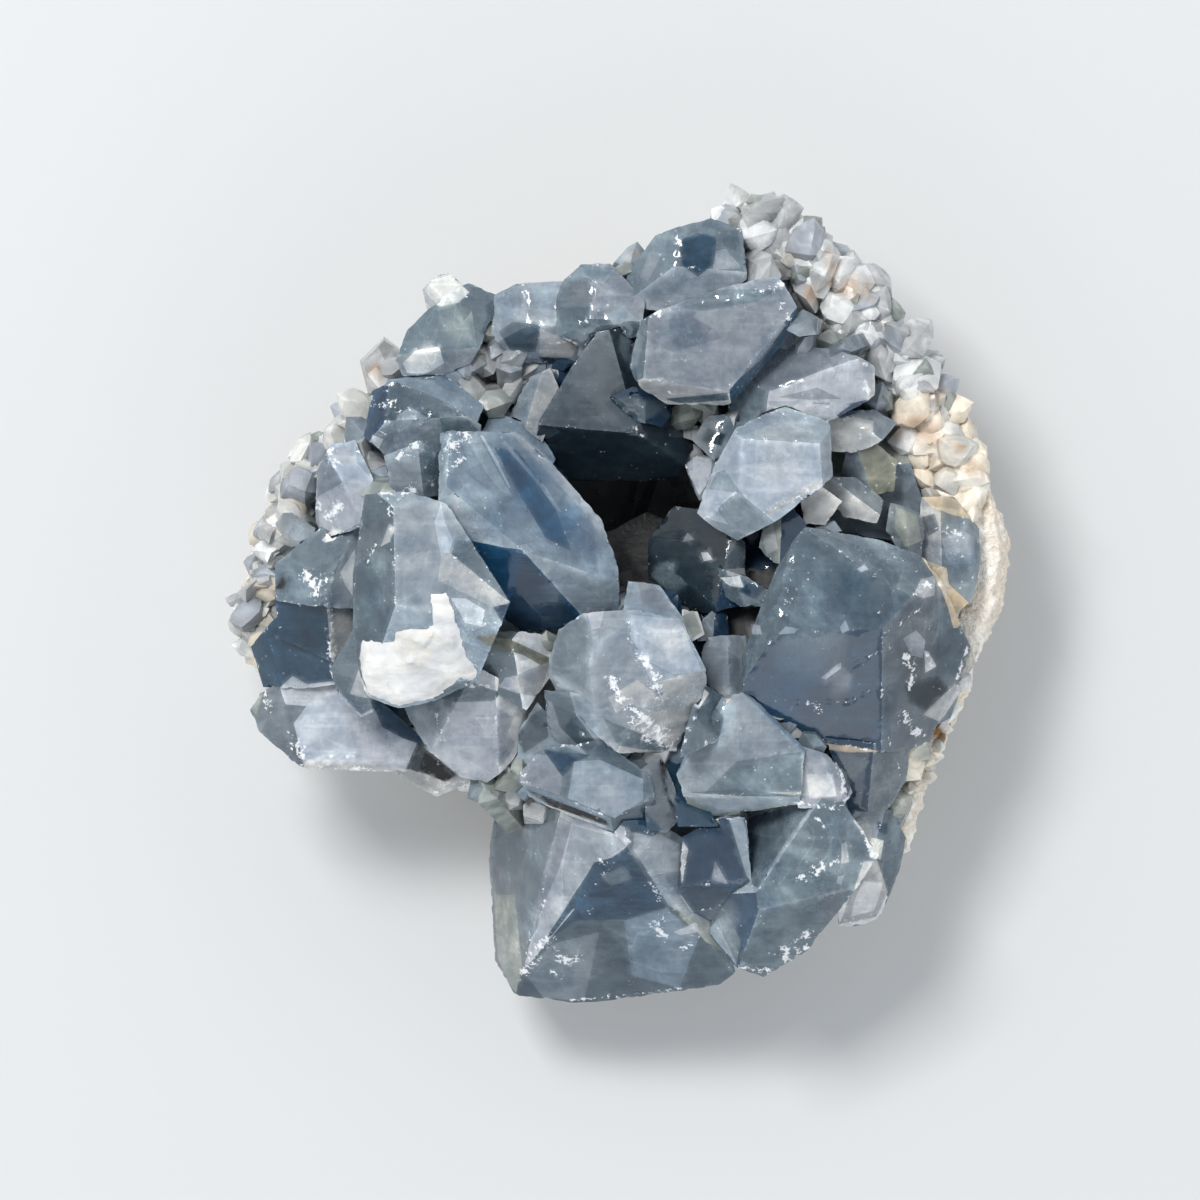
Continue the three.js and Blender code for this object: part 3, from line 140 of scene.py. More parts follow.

# Painted reflections, painted shadows, inner facets and thin pieces: tone, plan outline
PATCHES = table("""
slate -17.8,7.5 -15.8,7.2 -11.2,-0.2 -18.3,5.6
steel -19.2,12 -18.9,9.9 -17.8,7.5 -15.8,7.2
bright -20.4,9.6 -19.6,12 -19.1,9.6 -18.1,7.4 -18.6,5.9 -19.6,5.4
grey -19.6,5.4 -18.6,5.9 -11.3,-0.1 -12,-1.5 -20,2.5
frost -18.4,0.3 -16.5,0.2 -14.2,-1.2 -14.6,-3.2 -16.6,-2.8
frost -32.3,3.4 -30.5,6.3 -30.2,4 -30.6,0.3 -31.6,1.8
smoke -29.7,7.6 -27.4,10 -26.4,7 -28.5,5.3 -30.3,4
grey -26.9,6.6 -25.9,9.4 -25.2,9 -25.7,7.2
slate -28.5,5.6 -26.7,6.6 -25.4,5.6 -25.3,-0.6 -27.4,2.4
mist -34.9,12.8 -33.9,13.4 -31,15 -29,14.4 -29.6,9.6 -32.4,8.2 -34.7,9.2
sky -30.2,19 -28.6,19.2 -28.4,15.2 -30,17
mist -33.2,18.6 -31.4,19.2 -30.2,18.4 -30.6,16.8 -32.6,17
frost -34.5,7.4 -33,8.9 -31.9,8.7 -32.8,7.5 -34,7.1
black -39.9,2.9 -38.5,3.4 -39,1.2 -40.3,1.4
slate -37,5.6 -33.6,7 -31.2,8 -33,2.8 -36.6,4.2
steel -26.4,18.4 -24,23.6 -21.6,18.4 -24.6,17.2
sky -16.8,20.4 -15.2,20.5 -12.8,16 -10.8,12.6 -12.4,13.6 -14.2,15.8
bright -14.9,20.3 -14.5,20.3 -12.7,17.2 -11.1,13.8 -11.4,13.9 -13.1,17.1
ink -13.2,18.8 -10.2,18.4 -5.8,11.8 -3.6,6 -6.8,7.6 -9.6,12.4
steel -11.4,20.9 -9.6,20.4 -4.8,16.2 0.2,10.4 1.6,7 0.4,7.4 -2.2,11
sky -12.2,19.4 -11.8,19.6 -6.6,13.6 -4.8,10.8 -5.4,11 -7.4,13.8
pale -9.9,6.7 -9.2,6.9 -8.2,5.9 -9.4,5.7
deep -13.2,-0.8 -11.2,-0.4 -9.4,5.4 -4.4,0.2 -3,-2.4 -9.6,-3.8 -12,-3
steel -18.2,13 -17,11.4 -12.6,7.6 -16,7.6 -18.4,10.4
mist -1.8,-0.8 0.6,-1 0,-3.4 -1,-3.6
moss -6,-9 -5.4,-3.8 -2,-1.8 -0.8,-4.6 -1.8,-11
bright 3.8,-1.8 9.8,-2.4 12.6,-8.8 9.2,-9.2 5.6,-7.4 3.8,-4.6
lilac 4.6,2.2 6.4,2.2 9.4,-1.6 5.4,-0.9
mist -39.9,-10.9 -38.3,-9.4 -36.4,-10.4 -33.1,-10 -32.4,-12.2 -35.8,-12.8 -39.2,-13
mist -33,-10.6 -29.6,-14.2 -27.4,-13 -24.8,-17 -22,-18 -24,-21 -30,-20
smoke -41.6,-11 -40,-10.8 -39.2,-13 -36.6,-13.2 -38.2,-15.4 -37.4,-18.4 -36.9,-20.8 -40,-19.8
-43.4,-15
ash -43.6,-13.4 -41.9,-11.2 -42.8,-14.4
navy -28.3,-12.9 -26.8,-12.5 -24.2,-13.9 -22.8,-16 -21.7,-18.2 -24.6,-17.2 -27.2,-15.8
black -22.3,-18.4 -20.6,-19.3 -17.6,-21.8 -19.4,-22.7 -22.7,-21.4
coal -22.8,-17.8 -21.7,-18.1 -22.7,-21.5 -24.2,-21
grey -31,-11.6 -29.9,-8.6 -28.2,-12.2 -29.6,-12
mist -18.3,-12.7 -14.4,-12.1 -10.8,-14.6 -11.5,-16.2 -10.6,-18 -12,-20.2 -14.2,-22.4 -18.6,-20.8
-20.6,-18.6 -18,-17.6 -18.6,-15
slate -20.5,-10.8 -16.5,-9.8 -12.4,-11.4 -13,-12.4 -17.6,-12.6 -20.5,-12.2
olive -15.4,-4.4 -12.6,-4.2 -6.2,-7.2 -6.6,-8.6 -9.6,-6.8 -14,-5.6
grey -12.8,-10.6 -9.4,-8.8 -6.3,-7.6 -7.6,-12 -10,-11.6
mist -11.8,-9.6 -10.6,-9.3 -10.8,-11 -12.4,-10.8
dusk -10.4,-17 -8.6,-14.4 -6.6,-13 -6.4,-17 -9.4,-19
steel -6.5,-12.4 -5.8,-12.8 -5,-15.6 -1.4,-19.3 -5.6,-17.6 -6.6,-15
dusk -5.7,-13 -3.2,-14 -0.4,-17.6 -1.4,-19 -4.6,-16
sky -3,-12 -1.4,-12.8 0.6,-16.6 -0.8,-16.8 -2.8,-14.2
steel -1,-4 3.2,-2 4,-6 7,-10 7.4,-13 2,-10.8 -0.4,-9
grey 1,-12 4.6,-9.8 8,-12.6 6,-13.6 3.6,-12.8 2,-14
bright 4.2,-6 5.4,-6.2 7.7,-12 7,-11
slate 0.4,-14.5 2.2,-18 6,-18.6 9,-18.6 5.6,-16.6 2.6,-15.6
deep -7,-18.6 -1.2,-19.2 -2.8,-19.9 -4.6,-21.9
dusk -1,-18.6 0.6,-17.6 5,-21 5.2,-22.2 0,-19.8
pale -3.2,-20 0,-19.8 5.3,-22.2 5.4,-24.8 1.8,-27 -4,-24.6
lilac -10,-21.4 -8,-19.2 -6.6,-19.2 -4.7,-22 -5,-24.2 -9.8,-22.6
black -9.4,-23.2 -5,-25 0.8,-27.2 1.2,-28 -5.4,-26
grey -8,-25 -5.2,-25.8 0.8,-28 0.8,-28.3 -5.2,-26.3
black 7.3,-19.8 8.1,-20 8.4,-23 9.5,-26.6 8.6,-25.4 7.4,-22
slate 8,-21.8 8.4,-22.4 9.5,-25.6 8.6,-24.6
navy 1.8,-27.4 5.6,-26.2 7.8,-28.6 6,-29.8 3.6,-28.6
coal -12,-24.6 -8.8,-24.2 -7,-26.4 -11.4,-26
mist -0.2,-29 2.6,-28.8 3.9,-30 2.4,-31.2 0.4,-30.6
slate -8.6,-25.4 -5,-26.6 -6.6,-33 -7.8,-41 -9.6,-44 -9,-33
navy 3.3,-31 5,-34.6 1.6,-38 -3.4,-38.6 -1,-34.6
steel 4.2,-28.8 9.6,-30.2 9.4,-36 6.8,-34.6 4,-31
pale 17,20.6 18.6,22.2 23,23.3 28,22 27,21.8 23,22.6 20,21.6 18.4,20
steel 19.4,20.2 21.6,22 26.9,21.6 27,19.4
grey 20.5,11 23.6,12.8 27.2,14.9 27.3,14.3 23.8,12.1 20.9,10.6
bright 14.4,16.4 15.6,18.6 17.3,17.6 16.2,15.4
sky 13.6,13.8 17.6,13.2 15.6,16.2 14.6,15.8
bright 12.2,10.8 13.6,14 14.8,11 16,9.4 14,10
mist 10.8,16.8 12,17.9 14,17.6 13.8,15 12.4,13 11.4,15
coal 12.6,19.6 13.4,21.4 15.6,20.6 15,19.2
smoke 0.6,24.4 1.8,22.4 4,21.8 5.6,23.6 4,25
mist 10.3,7.2 11,8.4 11.8,7.5
frost 12.6,5.9 13.5,5.9 14.1,5 13,4.8
slate 6.4,3 7.4,4.6 9.4,4.6 9.4,3.4 11,2 9,0.8
frost 15,2.8 17.4,3 18,1.5 16.2,1.8
navy 17.4,1.2 18.4,2.2 20.6,1.6 19.4,0
grey 15.6,3.8 18,4 18.4,3 16,3
lilac 17.4,1 20,-0.2 18.2,-0.9
grey 20.2,8.4 21.6,9.6 22.2,6.4 20.8,5.6
mist 18,8.2 20.2,9 19,6.8
mist 31.8,3.8 32.8,4.4 33.3,3.8 32.4,3.4
mist 29.7,-3.4 30.4,-2.5 30.9,-3.7 30,-4.1
mist 22,-4.3 23,-3.3 24.7,-3.6 24,-4.1
mist 18.8,-3 20,-3.2 20.2,-4.3 19,-4.3
rust 35.1,1.1 35.8,2.1 36.5,1.2 35.9,0.5
rust 15.5,-12.3 16.3,-12.2 16,-12.8
moss 26.2,8.7 33.4,6.2 37.4,6.4 37.6,7.6 30,8.8
dusk 32.6,2.8 35,5 37.6,3.8 36,0.4 33.4,0.8
grey 29.8,21.8 31.4,22.8 34,22.2 33.8,19.6 30.4,19
olive 34.4,18.8 36.4,18 36.8,15.4 35.4,15
grey 25.4,12.4 27.6,13.6 28.8,12.2 28,10.4 25.8,10.8
frost 27.4,-9.6 29.4,-7.9 29.9,-7.7 29.9,-8.4 28,-9.8
mist 37.5,-4.8 39.2,-3.7 40.4,-5 40,-7.2 38.6,-6.8 38,-5.6
ash 10.2,-2 11.6,-1.3 12.7,-4 11.4,-4.8
dusk 11.6,-13.8 14,-12.4 15.6,-15 14.8,-17 12.8,-16
frost 12.9,-11 13.5,-11.6 12.2,-13.6 11.6,-13.2
sky 15.6,-12.6 17.4,-12.2 15.2,-18.4 10.8,-20.2 15,-16.8
slate 17,-20 25,-18.8 25,-23.8 13,-24
sky 11.2,-24.4 25,-24.2 25,-25 18.4,-26 14.5,-26.8
dusk 11,-23.9 17,-23.5 25,-24.3 17,-24.3
frost 25.6,-21.6 28.8,-21.6 29.4,-24.4 26,-24.6
sand 27.6,-17.6 29,-17.9 31.2,-18.1 34.8,-18.8 31,-18.9 28.6,-18.6
dusk 29,-19.4 30.6,-19 33.6,-20 31.6,-22.4 30.6,-24.4
dusk -13.4,-27 -10.6,-26.4 -9,-31 -10.4,-34.6 -13.2,-33
ash -13.2,-37 -10.6,-37 -9.6,-46 -10.6,-49.4 -12.8,-45
slate -8,-27 -5.2,-27 -7.6,-38 -8.8,-42 -9.8,-38
lilac -5,-27 -3.4,-27.6 -5,-33.4 -8.2,-41 -8.6,-40
steel -3.4,-28 0,-29 2,-29 3.3,-30.5 1,-32 -0.4,-32.4 -4.4,-38 -4.6,-33.6
navy -0.6,-32.6 1.6,-32 3.4,-30.7 0.4,-33.8 -6,-42 -6.6,-42.2
deep 3.4,-30.9 8.2,-38.2 3,-39.8 -3,-40 -5.8,-42 0.2,-34.2
navy 3.3,-31.2 5,-33.6 3.8,-34 2.6,-33.2
slate 0.2,-34.4 3,-33 4,-34.6 1.4,-35.6
moss -6,-43 0,-41.4 -2,-50.2 -7,-50 -9.6,-46.6
mid 3,-40 8.4,-38.4 12.4,-42 10,-48.6 4,-47
ash 9.8,-37.6 11.6,-38.8 13.6,-40.2 15.6,-45 13.6,-43 10,-39.4
dusk 12.6,-42.4 14.6,-43.4 17.6,-46.4 13,-48 11.4,-46
mist 9.2,-41.4 12,-40.2 12.4,-41.4 10,-41.8
steel 3.9,-30.6 7.2,-29 9.9,-30.4 9.6,-36 12.8,-40.4 8.6,-38
lilac 14.3,-32.4 16,-35.4 13.9,-34.8
sky 16,-27 17.6,-26.6 18.7,-30.4 18.9,-35.2 18.2,-34.2
grey 10.3,-30 11,-31 10.6,-33 10.2,-35.4 10,-33
slate 18,-27.4 24.4,-25.6 26.4,-25.8 22.6,-31 19.8,-36 19,-35.4
pale 13.5,-41.4 14.6,-40 16.4,-42.4 17.2,-45.6
slate 14.6,-40 16,-39.2 17.6,-42.4 17.2,-45.4
dusk 17.4,-44.6 19.4,-41 23,-40.6 22.6,-44.4 20.4,-46.6
grey 30,-30.4 30.6,-30 31,-32.6 30,-32.8
mist 29.6,-34.4 30.4,-34.2 30,-35.4 29.4,-35.2
smoke 28,-36.2 31,-35.6 30,-38.4 26.6,-42 27.8,-39.6
grey 32.8,-32.5 34.6,-32.5 36,-36.6 34.6,-39.6 30,-40.6 31.4,-36.6
frost 33,-35 35.4,-35.4 34.4,-38.8 31.4,-39.6 32,-37
white 33,-29.4 35.4,-30 35,-32.4 33.6,-32
navy 34.6,-27.6 35.8,-27.9 35.9,-29.1 34.9,-29
grey 31.4,-27.4 33.2,-27 34,-28.6 33.8,-30.4
steel -26,20 -25,22.8 -23.4,23.8 -20.6,22 -19.8,20
slate -20,23.4 -16.4,22.4 -15,21 -19.4,20.4
frost -28,20.4 -26.8,20 -27.4,18.6 -28.6,19.2
frost -24.6,29.6 -23,31 -20,31.5 -19.4,29.6 -21.6,28.2 -24,28.4
haze -19,32 -16,36 -15.4,31.6
white -21.8,38.6 -20.8,40 -18.8,40.5 -16.3,38.3 -17.6,37 -20,36.5
pale -12.9,36.8 -11.4,37.8 -10.3,35.2 -12.4,34.6
sky -8.8,39 -5.4,39.4 -6.6,34.4 -7.6,36
dusk -12.6,33.4 -10.8,34.6 -7.4,34.2 -8,31 -11,31
grey -7.4,33.8 -2.8,32 -3.4,30.4 -7.6,30.2
coal -7.6,30.4 -3.6,30.2 -4.6,27.8 -6.4,28.6
smoke -3.9,39.6 -0.8,39 -1,36.8 -3.8,36.8
haze -2.4,41.4 1.8,41 0.4,39.2 -2,40.2
dusk -5.2,36.4 -1.4,36.4 -1.6,33 -4.6,33.4
sky 0.6,35.4 3,36.6 4.4,35 1.8,34.2
slate 2.4,33 3.8,32.4 3.2,29.4 2.4,31
slate 3.5,28.8 4.4,28.6 6,33.6 5.4,35 4,31.6
grey 5.8,27.4 7.8,27.6 11.2,25.2 8.4,25
dusk 8,25.1 15.8,25.8 16,24.9 10,24.5
slate 9.4,36.4 14,38.4 22,38.4 19.4,37 13,35.8
lilac 19.4,36.6 23,34.2 20,30 16,26.4 15,30 17.6,34
navy 9.8,44.6 12,45.6 14.4,45 14.4,42 12.2,40.2 10.2,41.6
dusk 14.6,45.8 17,46 17.6,43 15.4,44
lilac 5,40 6.2,43.4 7.8,43 6,39.6
steel 14.4,43.4 15.6,43.6 17.6,41.2 14,41
dusk 0.6,24.6 3,25.4 8.6,24.4 4.6,21.6 3,21.8
black 10,24.4 14.6,24.2 13,22 10.6,20.2
mist 21,25.8 28,28.6 32,29.9 33.7,28.4 33.4,25.4 31,24.7 26,24.9 21,24.7
lilac 22,25.2 27,26.4 30,25 26,24.9
mist 31.4,29.6 33.2,29.8 34.2,28 33,27
deep 28.6,23.4 30,24.2 33.2,24.9 32.4,23.4 30,22.6
mist 25,24.6 31.2,24.3 28.6,22.4 26.4,23
steel 20.9,24.7 25,24.7 23.6,23.8 21,24.2
coal 34.4,28.4 36.4,28.3 37,26 35,25.2 34.2,26
ash 36.8,11.6 39.4,10.6 40,7.4 38,6.6 36.7,9
pale 42.6,7.6 45,8.8 46.6,7.8 46.8,4.6 43.4,4.4
sand 40,13 45,13.4 46.6,10 44,10.6 41.4,11.6
smoke 40.2,10.4 41.8,10.8 42.4,8.8 41,8
sand 40,5.2 43.2,4 43.5,2 46.4,-0.7 44.9,-3 44,-3.8 43.2,-1 42.2,1.6 41,3.6
grey 38.9,0.7 39.8,2.5 41.7,3 41.4,0.6 40,0.3
coal 37.6,-10.2 42,-9.4 43.8,-11.4 41,-14 38.4,-12.8
grey 44.2,-10.4 45.4,-10.8 42.4,-15.2 40.2,-14.2
dusk 43.6,-3.4 46,-3.6 44.6,-9.4 41.6,-9 41.8,-4.6
slate 41.6,-1 43,-1 43.6,-3.2 41.8,-4
white 40.2,-6.2 40.8,-6.4 41.8,-8.2 40.4,-9
""")

# Chipped and flaky places: half width, plan line
FLAKES = table("""
0.5 -25.6,9 -25.5,5 -25.3,1 -25.2,-1.4
1.2 -26.6,13.4 -25.8,12.4 -24.4,13 -23,13.7
0.8 -25.9,12.2 -25.7,10.4
1.1 -24.8,17.4 -23.6,18.6 -22.5,19.4
1.2 -19.6,17.6 -17.8,19.2 -16.6,20
0.9 -19,15.8 -17,17.4
0.8 -21.6,16.2 -20.8,14.4
1.1 -34.6,18.2 -33.4,18.4 -32.8,17
1.1 -34.9,12.4 -34.6,10.8 -33,10.6 -32.2,11.8
0.8 -36.6,9.8 -35,11
1.3 -36.4,3 -35.2,1.4 -34,2.4
0.9 -33.9,1.2 -33.6,-2 -33.4,-6 -33.3,-8.2
0.7 -28.6,4.6 -27.6,7
0.7 -27.4,15.6 -28.4,13.6
0.5 -12.9,-2.8 -10,-3.8 -5.6,-3.4 -2.6,-2.2
0.5 -18,5.4 -14.4,2.2 -11.4,-0.2
0.4 -6,7.4 -4.6,5.8
0.4 -8,11.4 -7.4,10.2
0.7 3.6,-1.8 3.6,-4.8 4.6,-6.6
1 -41.8,-11.6 -41.4,-13
1 -38,-17.6 -37.4,-19.4 -36.4,-20.6
0.9 -37.6,-20.6 -34,-20.6 -31,-20.9 -28,-21.2
0.6 -28,-21.1 -24.6,-21.3
0.7 -35,-19.6 -30.6,-19.4
0.7 -16.6,-10.5 -13.8,-10.7
1.4 -16.4,-8.2 -15.4,-9.6
0.7 -20.2,-14.2 -19.4,-17.4
0.6 -16,-3.6 -13.2,-2.6
1 1.4,-9.8 2.4,-12 3.4,-13.6 4.2,-15.6
1.6 3,-12.4 4,-13.6 5,-14.4
1.8 5.4,-14.6 7,-16.4 8.4,-17.8 5.8,-16.6
0.6 10.6,-13.6 11,-16 9.8,-18.6
1 5.2,-6.6 6.4,-8.8 7.6,-12.2
0.8 -9.6,-21.2 -9.2,-22.6
0.8 0.6,-28.9 2.6,-29.2 3.6,-30
0.6 5.4,-28 5.8,-28.8
0.4 3.4,-29.6 6,-29.8
0.5 10.2,-31 10.6,-33 10,-36
0.7 -20.6,-24.2 -19,-22.8 -17,-22.7
0.8 6.2,-17.4 9.6,-18.6
0.6 22.7,-1.8 23.4,1.6 24.4,5
0.5 23.4,-2.2 23.9,1
0.5 34,3 35.4,4.4 37.2,5.8
0.9 25.8,-12.8 27.4,-13.7
0.4 28,-12.6 31,-12.6 33.6,-11
0.4 31,-8.4 35,-6
1 37.6,-14 38.6,-15.8 40,-17
1 38,-6.8 39,-9 38.4,-10.4
0.5 10,-19.8 13,-17.8 15.2,-16.6
0.6 11.8,-14.2 10.6,-17.4 10,-19
1 29.4,-20.6 30.2,-23 30.4,-25.2
0.6 27.4,-17.4 30.4,-18 34.6,-18.8
0.6 14.6,-27 20,-26.2 25,-25
0.8 25,-25.2 28,-25.8 30.4,-25.4
0.6 20.4,10.8 24,12.4 27.4,14.6
0.6 22,23.2 23.6,22.8
0.6 33.6,21.4 32.4,20
0.5 35.2,-4 37,-3 41,0
0.3 -2.6,19 3,18.4
1.2 -9.4,-46.6 -8.4,-44.6 -7,-42.8 -6.4,-42
0.7 -8.4,-40.6 -9,-43.4 -9.2,-46
0.6 -6.8,-37.4 -7.6,-40
1.1 -5.4,-44.2 -4.2,-45.2 -2.8,-44.6
0.9 -6,-46.4 -4.8,-47
0.4 3.2,-49 3.6,-47.8 4.6,-47
0.5 -2,-38.6 -0.8,-38.4 0.6,-37.8
0.8 0.2,-32.4 0.8,-32.8
0.8 6.2,-35.2 6.8,-36.2 7.6,-37.4
1 8,-39.4 7,-40.6 8.2,-42.2
0.7 8.4,-39 9.4,-38.6
0.7 10.4,-43.6 11.2,-43 12,-42
0.7 -3.6,-50.1 4,-49.6 10,-48.6
1.1 25.2,-34.6 26.4,-34 27.4,-33.2
0.7 27.6,-33.6 29.6,-32
0.5 22.9,-34.4 23.1,-35.2
1.2 23,-43.6 23.4,-44.8 25.6,-43.6 27.4,-42.4
1 24.4,-42.2 26,-41.6
0.9 17.6,-45.6 20,-46.4 21.4,-46
0.7 27.8,-28.2 26.8,-27
0.8 32,-27.6 33.4,-30.6 34.2,-31.8
0.9 30,-40.4 33,-40.2 34.8,-39.4
0.4 12.2,-38.6 14.6,-38.2 17,-35.8
0.6 32.8,-34.6 33.8,-34.8
0.7 -28.6,25.2 -27,24 -25.2,24.6
0.6 -26.4,23 -24,23.4 -20.6,22.8
0.5 -27.8,21.6 -26.6,20.6
0.6 -23,22.6 -20.8,20.8
0.7 -5.4,32 -3.4,32.6
0.6 -0.2,33.2 2.2,33.8
1.1 6.4,35.4 7.6,35.8
0.6 8.2,36.8 9.4,37.1
0.4 12.7,38 12.9,35.6 13.2,33.2
0.8 21.4,38.6 23.2,39.6
0.8 22.4,36.4 23.6,34.6
0.5 6,27.2 8.4,26.4 9,25.4
0.4 16.6,25.6 19.6,28.6
0.6 13.6,28.8 13.8,29.2
0.6 -17.4,38.6 -16.4,37.6
0.8 32.4,27.4 33.3,25.8
0.7 31,29.5 33,29.2
1 42.8,8.6 44.8,8.2
0.7 43.6,5.8 45.6,5.4
0.8 39.2,1.4 41,2
0.7 40.4,-2.6 41,-3.8
0.6 44.4,-4.2 45.4,-4
0.8 40.6,-6.6 41.2,-8.2
0.6 42.2,-11 42.7,-11.4
0.5 31.6,4.8 32.6,4.8
0.5 34.4,-1.2 34.9,-2.4
0.5 24,-12.2 24.6,-12.7
0.6 35.6,-5.6 36,-6.3
0.5 36.4,5.8 38.4,4.2 40,3
0.5 34.6,-14 36,-18
0.8 45.6,-6 44.4,-9.6
0.7 37,-19.6 37.2,-21.4
""")

# Soft patches of painted light and shade inside the crystals: tone, then x, y, radius and strength of
# each
PAINTED_GLOWS = table("""
ink 25,-8,5,0.7 22.5,-12,5,0.7 -4.4,9.6,4,0.8 -8.6,14.4,4.4,0.8 -12,10.4,3.4,0.4 -2,6.4,2.6,0.5
navy 33,-14,5,0.6 28,-15.5,5,0.5 31.5,1.8,2.2,0.6 5.6,-36.4,2.8,0.6
lilac 30,-10.4,1.8,0.7 7,38.6,2,0.5 29,26,3,0.4
slate 26,-5,6,0.8 -14,12,3,0.4 13.4,-22.4,2,0.4 22.4,-28.4,3,0.4 10,32,4,0.35 -4,28,3.4,0.3
deep 30,-3,9,0.35 -26,2,3,0.3 21,-38,3,0.4 7,-44,3,0.3 12.4,-32,3,0.4
white 22,18,4,0.35 9,-5,3.4,0.3 27.4,-22.8,2,0.6
mist 24,13.6,2,0.4 -33,-16.6,5,0.4 -29,-18,4,0.3 1,-24,3,0.4 15,34,4,0.3 24,25.6,2.4,0.4
bright -16.5,-1.6,2.5,0.5 -3,-31,3,0.4
pale -22,11,3,0.4 21,-21,3,0.3 -9.6,37.6,2.4,0.4
frost -22,29.6,2.6,0.6 44.6,7,2.4,0.5 42,1.2,2,0.3
sky 0.2,7.6,1.6,0.5 -24,1,4,0.3 8,28,3,0.35 2.8,35.6,1.8,0.6
mid -5,1.6,3,0.4 1,-6,3,0.4 11,38.6,3,0.3
black -36.6,-4.6,3,0.3
grey -11.4,-44,3,0.35
steel 15.4,-39.6,3,0.5
smoke 26,-31,4,0.3
moss -2,-46,4,0.4
ash -17.4,34.6,3,0.4
olive 43.6,11,2,0.5
coal 39,-7,4,0.4
""")

# Stains on the rock and the small crystals: tone, then x, y, radius and strength of each
# The black spots are painted shade: the hollow and the gap under the upper right crystal.
STAINS_AND_SHADOWS = table("""
black 2,11,13,1.6 3,7,9,1.2 12,22.6,2.6,1
shell 42,17,5,0.6 40,-21,3.4,0.7
rust 41,21.4,3,0.55 45,18.8,1,0.9 46,16.4,1,0.9 46.7,14.8,1,0.8 48.2,12.4,1,0.6 42,-15.8,1.7,0.9
43,-16.6,1.2,0.7 28.6,42.4,1.2,0.8 28.8,39.8,1.4,0.7 26.2,38.2,1.2,0.8 31,38.6,1.8,0.6
32,40.6,0.9,0.7 38.6,22.6,1.4,0.8 37,20.6,1.3,0.8 36.4,18.2,1.2,0.7 42,25.4,1.4,0.5 -28.4,28,1.6,0.7
-40,0.1,1.2,0.7 -10.4,28.8,1.2,0.5 -22.6,36,1.2,0.6
chalk 38.8,-25,2.8,0.6 46.6,8,2.4,0.7 48,3,3,0.8 46.5,-4,3,0.7
umber 38.4,13.6,2,0.9 36.4,12.8,1.6,0.8
frost -13,28.5,6,0.6
sand 33,38.8,1.6,0.7 -15,30.4,1,0.6 -42,-2.6,1.4,0.5
cream 23,42.4,1.4,0.7 -42.4,11.6,2.6,0.8 -39.4,8.6,2,0.6 -14,35.6,1.6,0.7 4,43.4,2,0.7
white 17,48,2.4,0.6 18,51.6,1.8,0.8
""")

# The white crust on the frosted crystal: its plan outline
CRUST_OUTLINE = [
    (-20.8, 0.8), (-18.8, 1.1), (-18.1, -1.3), (-17, -3.8), (-17, -5.9), (-15, -8.8), (-15.3, -9.8),
    (-17.5, -9.7), (-20.3, -12.2), (-25, -13.3), (-27.2, -12.3), (-29, -11.6), (-29.7, -8.8), (-29.4, -5),
    (-25.6, -5), (-25, -3.8), (-20.6, -3.1),
]
CRUST_MESH = 0.33
CRUST_HEIGHT = 0.6
CRUST_PLATES = (0.34, 0.8)

# The dark hollow in the middle, whose lining is painted black as shade: its plan outline
HOLLOW = [(-7, 17), (8, 18), (14, 13.6), (11, 9), (9.6, 1), (3, 0), (-2, 8)]

# The ground that the bunches cover: its plan outline
CRYSTAL_AREA = [
    (-42, -18), (-26, -21), (-12, -25), (-13, -46), (-9, -49), (18, -46), (30, -40), (37, -28),
    (43, -12), (44, 2), (40, 12), (36, 24), (33, 30), (22, 40), (16, 45), (4, 42), (-12, 38),
    (-20, 36), (-26, 28), (-29, 22), (-36, 14), (-40, 2), (-43, -6),
]

# Small crystals: spacing, radius from and to, whether they are rounded, tones, plan outline
DRUSE_ZONES = [
    (2.2, 2.5, 3.8, True, ("grey", "frost", "mist", "grey"), [
        (15, 49), (17, 43), (21, 41.5), (24.5, 37), (25, 32.5), (33, 31), (36, 28), (37, 25), (39, 25.4),
        (43.6, 25), (41.6, 29.6), (37.6, 34), (34.4, 39), (27, 46), (19.6, 51),
    ]),
    (1.7, 1.7, 2.7, True, ("grey", "frost", "grey", "mist", "frost", "ash"), [
        (14.5, 47.5), (17.6, 41), (22, 40.5), (23.8, 36), (24, 31.4), (33, 30), (36, 26), (36.6, 22),
        (38, 16), (41, 20), (44.6, 24), (43, 28.6), (40, 33), (35, 39), (27.4, 47), (18.5, 51.6),
        (13.4, 48.2),
    ]),
    (2.0, 2.0, 3.2, True, ("grey", "mist", "white", "frost"), [
        (-29, 24), (-30, 19.6), (-34, 18.6), (-35.6, 14.6), (-37.6, 10), (-41, 6), (-41, 0), (-43, -5),
        (-45, -6), (-45.8, -1), (-44.6, 7.4), (-41.8, 14), (-37.4, 19.4), (-32.5, 23.6),
    ]),
    (1.6, 1.5, 2.3, True, ("grey", "cream", "white", "frost", "ash"), [
        (-29, 25), (-30, 19), (-34, 18), (-35.5, 15), (-37, 9), (-40.5, 6), (-40.5, 0), (-42.5, -10),
        (-45, -9), (-46.4, -1), (-45.2, 7.5), (-42.2, 14.4), (-37.6, 19.8), (-32, 25),
    ]),
    (1.9, 1.8, 3.2, False, ("grey", "frost", "ash", "grey", "frost"), [
        (-28, 24.6), (-20, 23), (-9, 21), (-6, 27), (-8, 29.4), (-14, 31), (-25, 30), (-28, 29),
    ]),
    (2.3, 1.5, 2.6, False, ("ash", "grey", "moss", "grey"), [
        (27, 24), (26, 12), (33, 7), (40, 5), (42, 9), (40, 14), (37, 22), (34, 25),
    ]),
    (1.6, 2.0, 3.3, True, ("shell", "cream", "chalk", "white"), [
        (38, 26), (35.6, 23), (36, 15), (41, 13.6), (45, 11.4), (47.6, 12.6), (47.4, 17),
        (45.4, 21.6), (43, 26),
    ]),
]

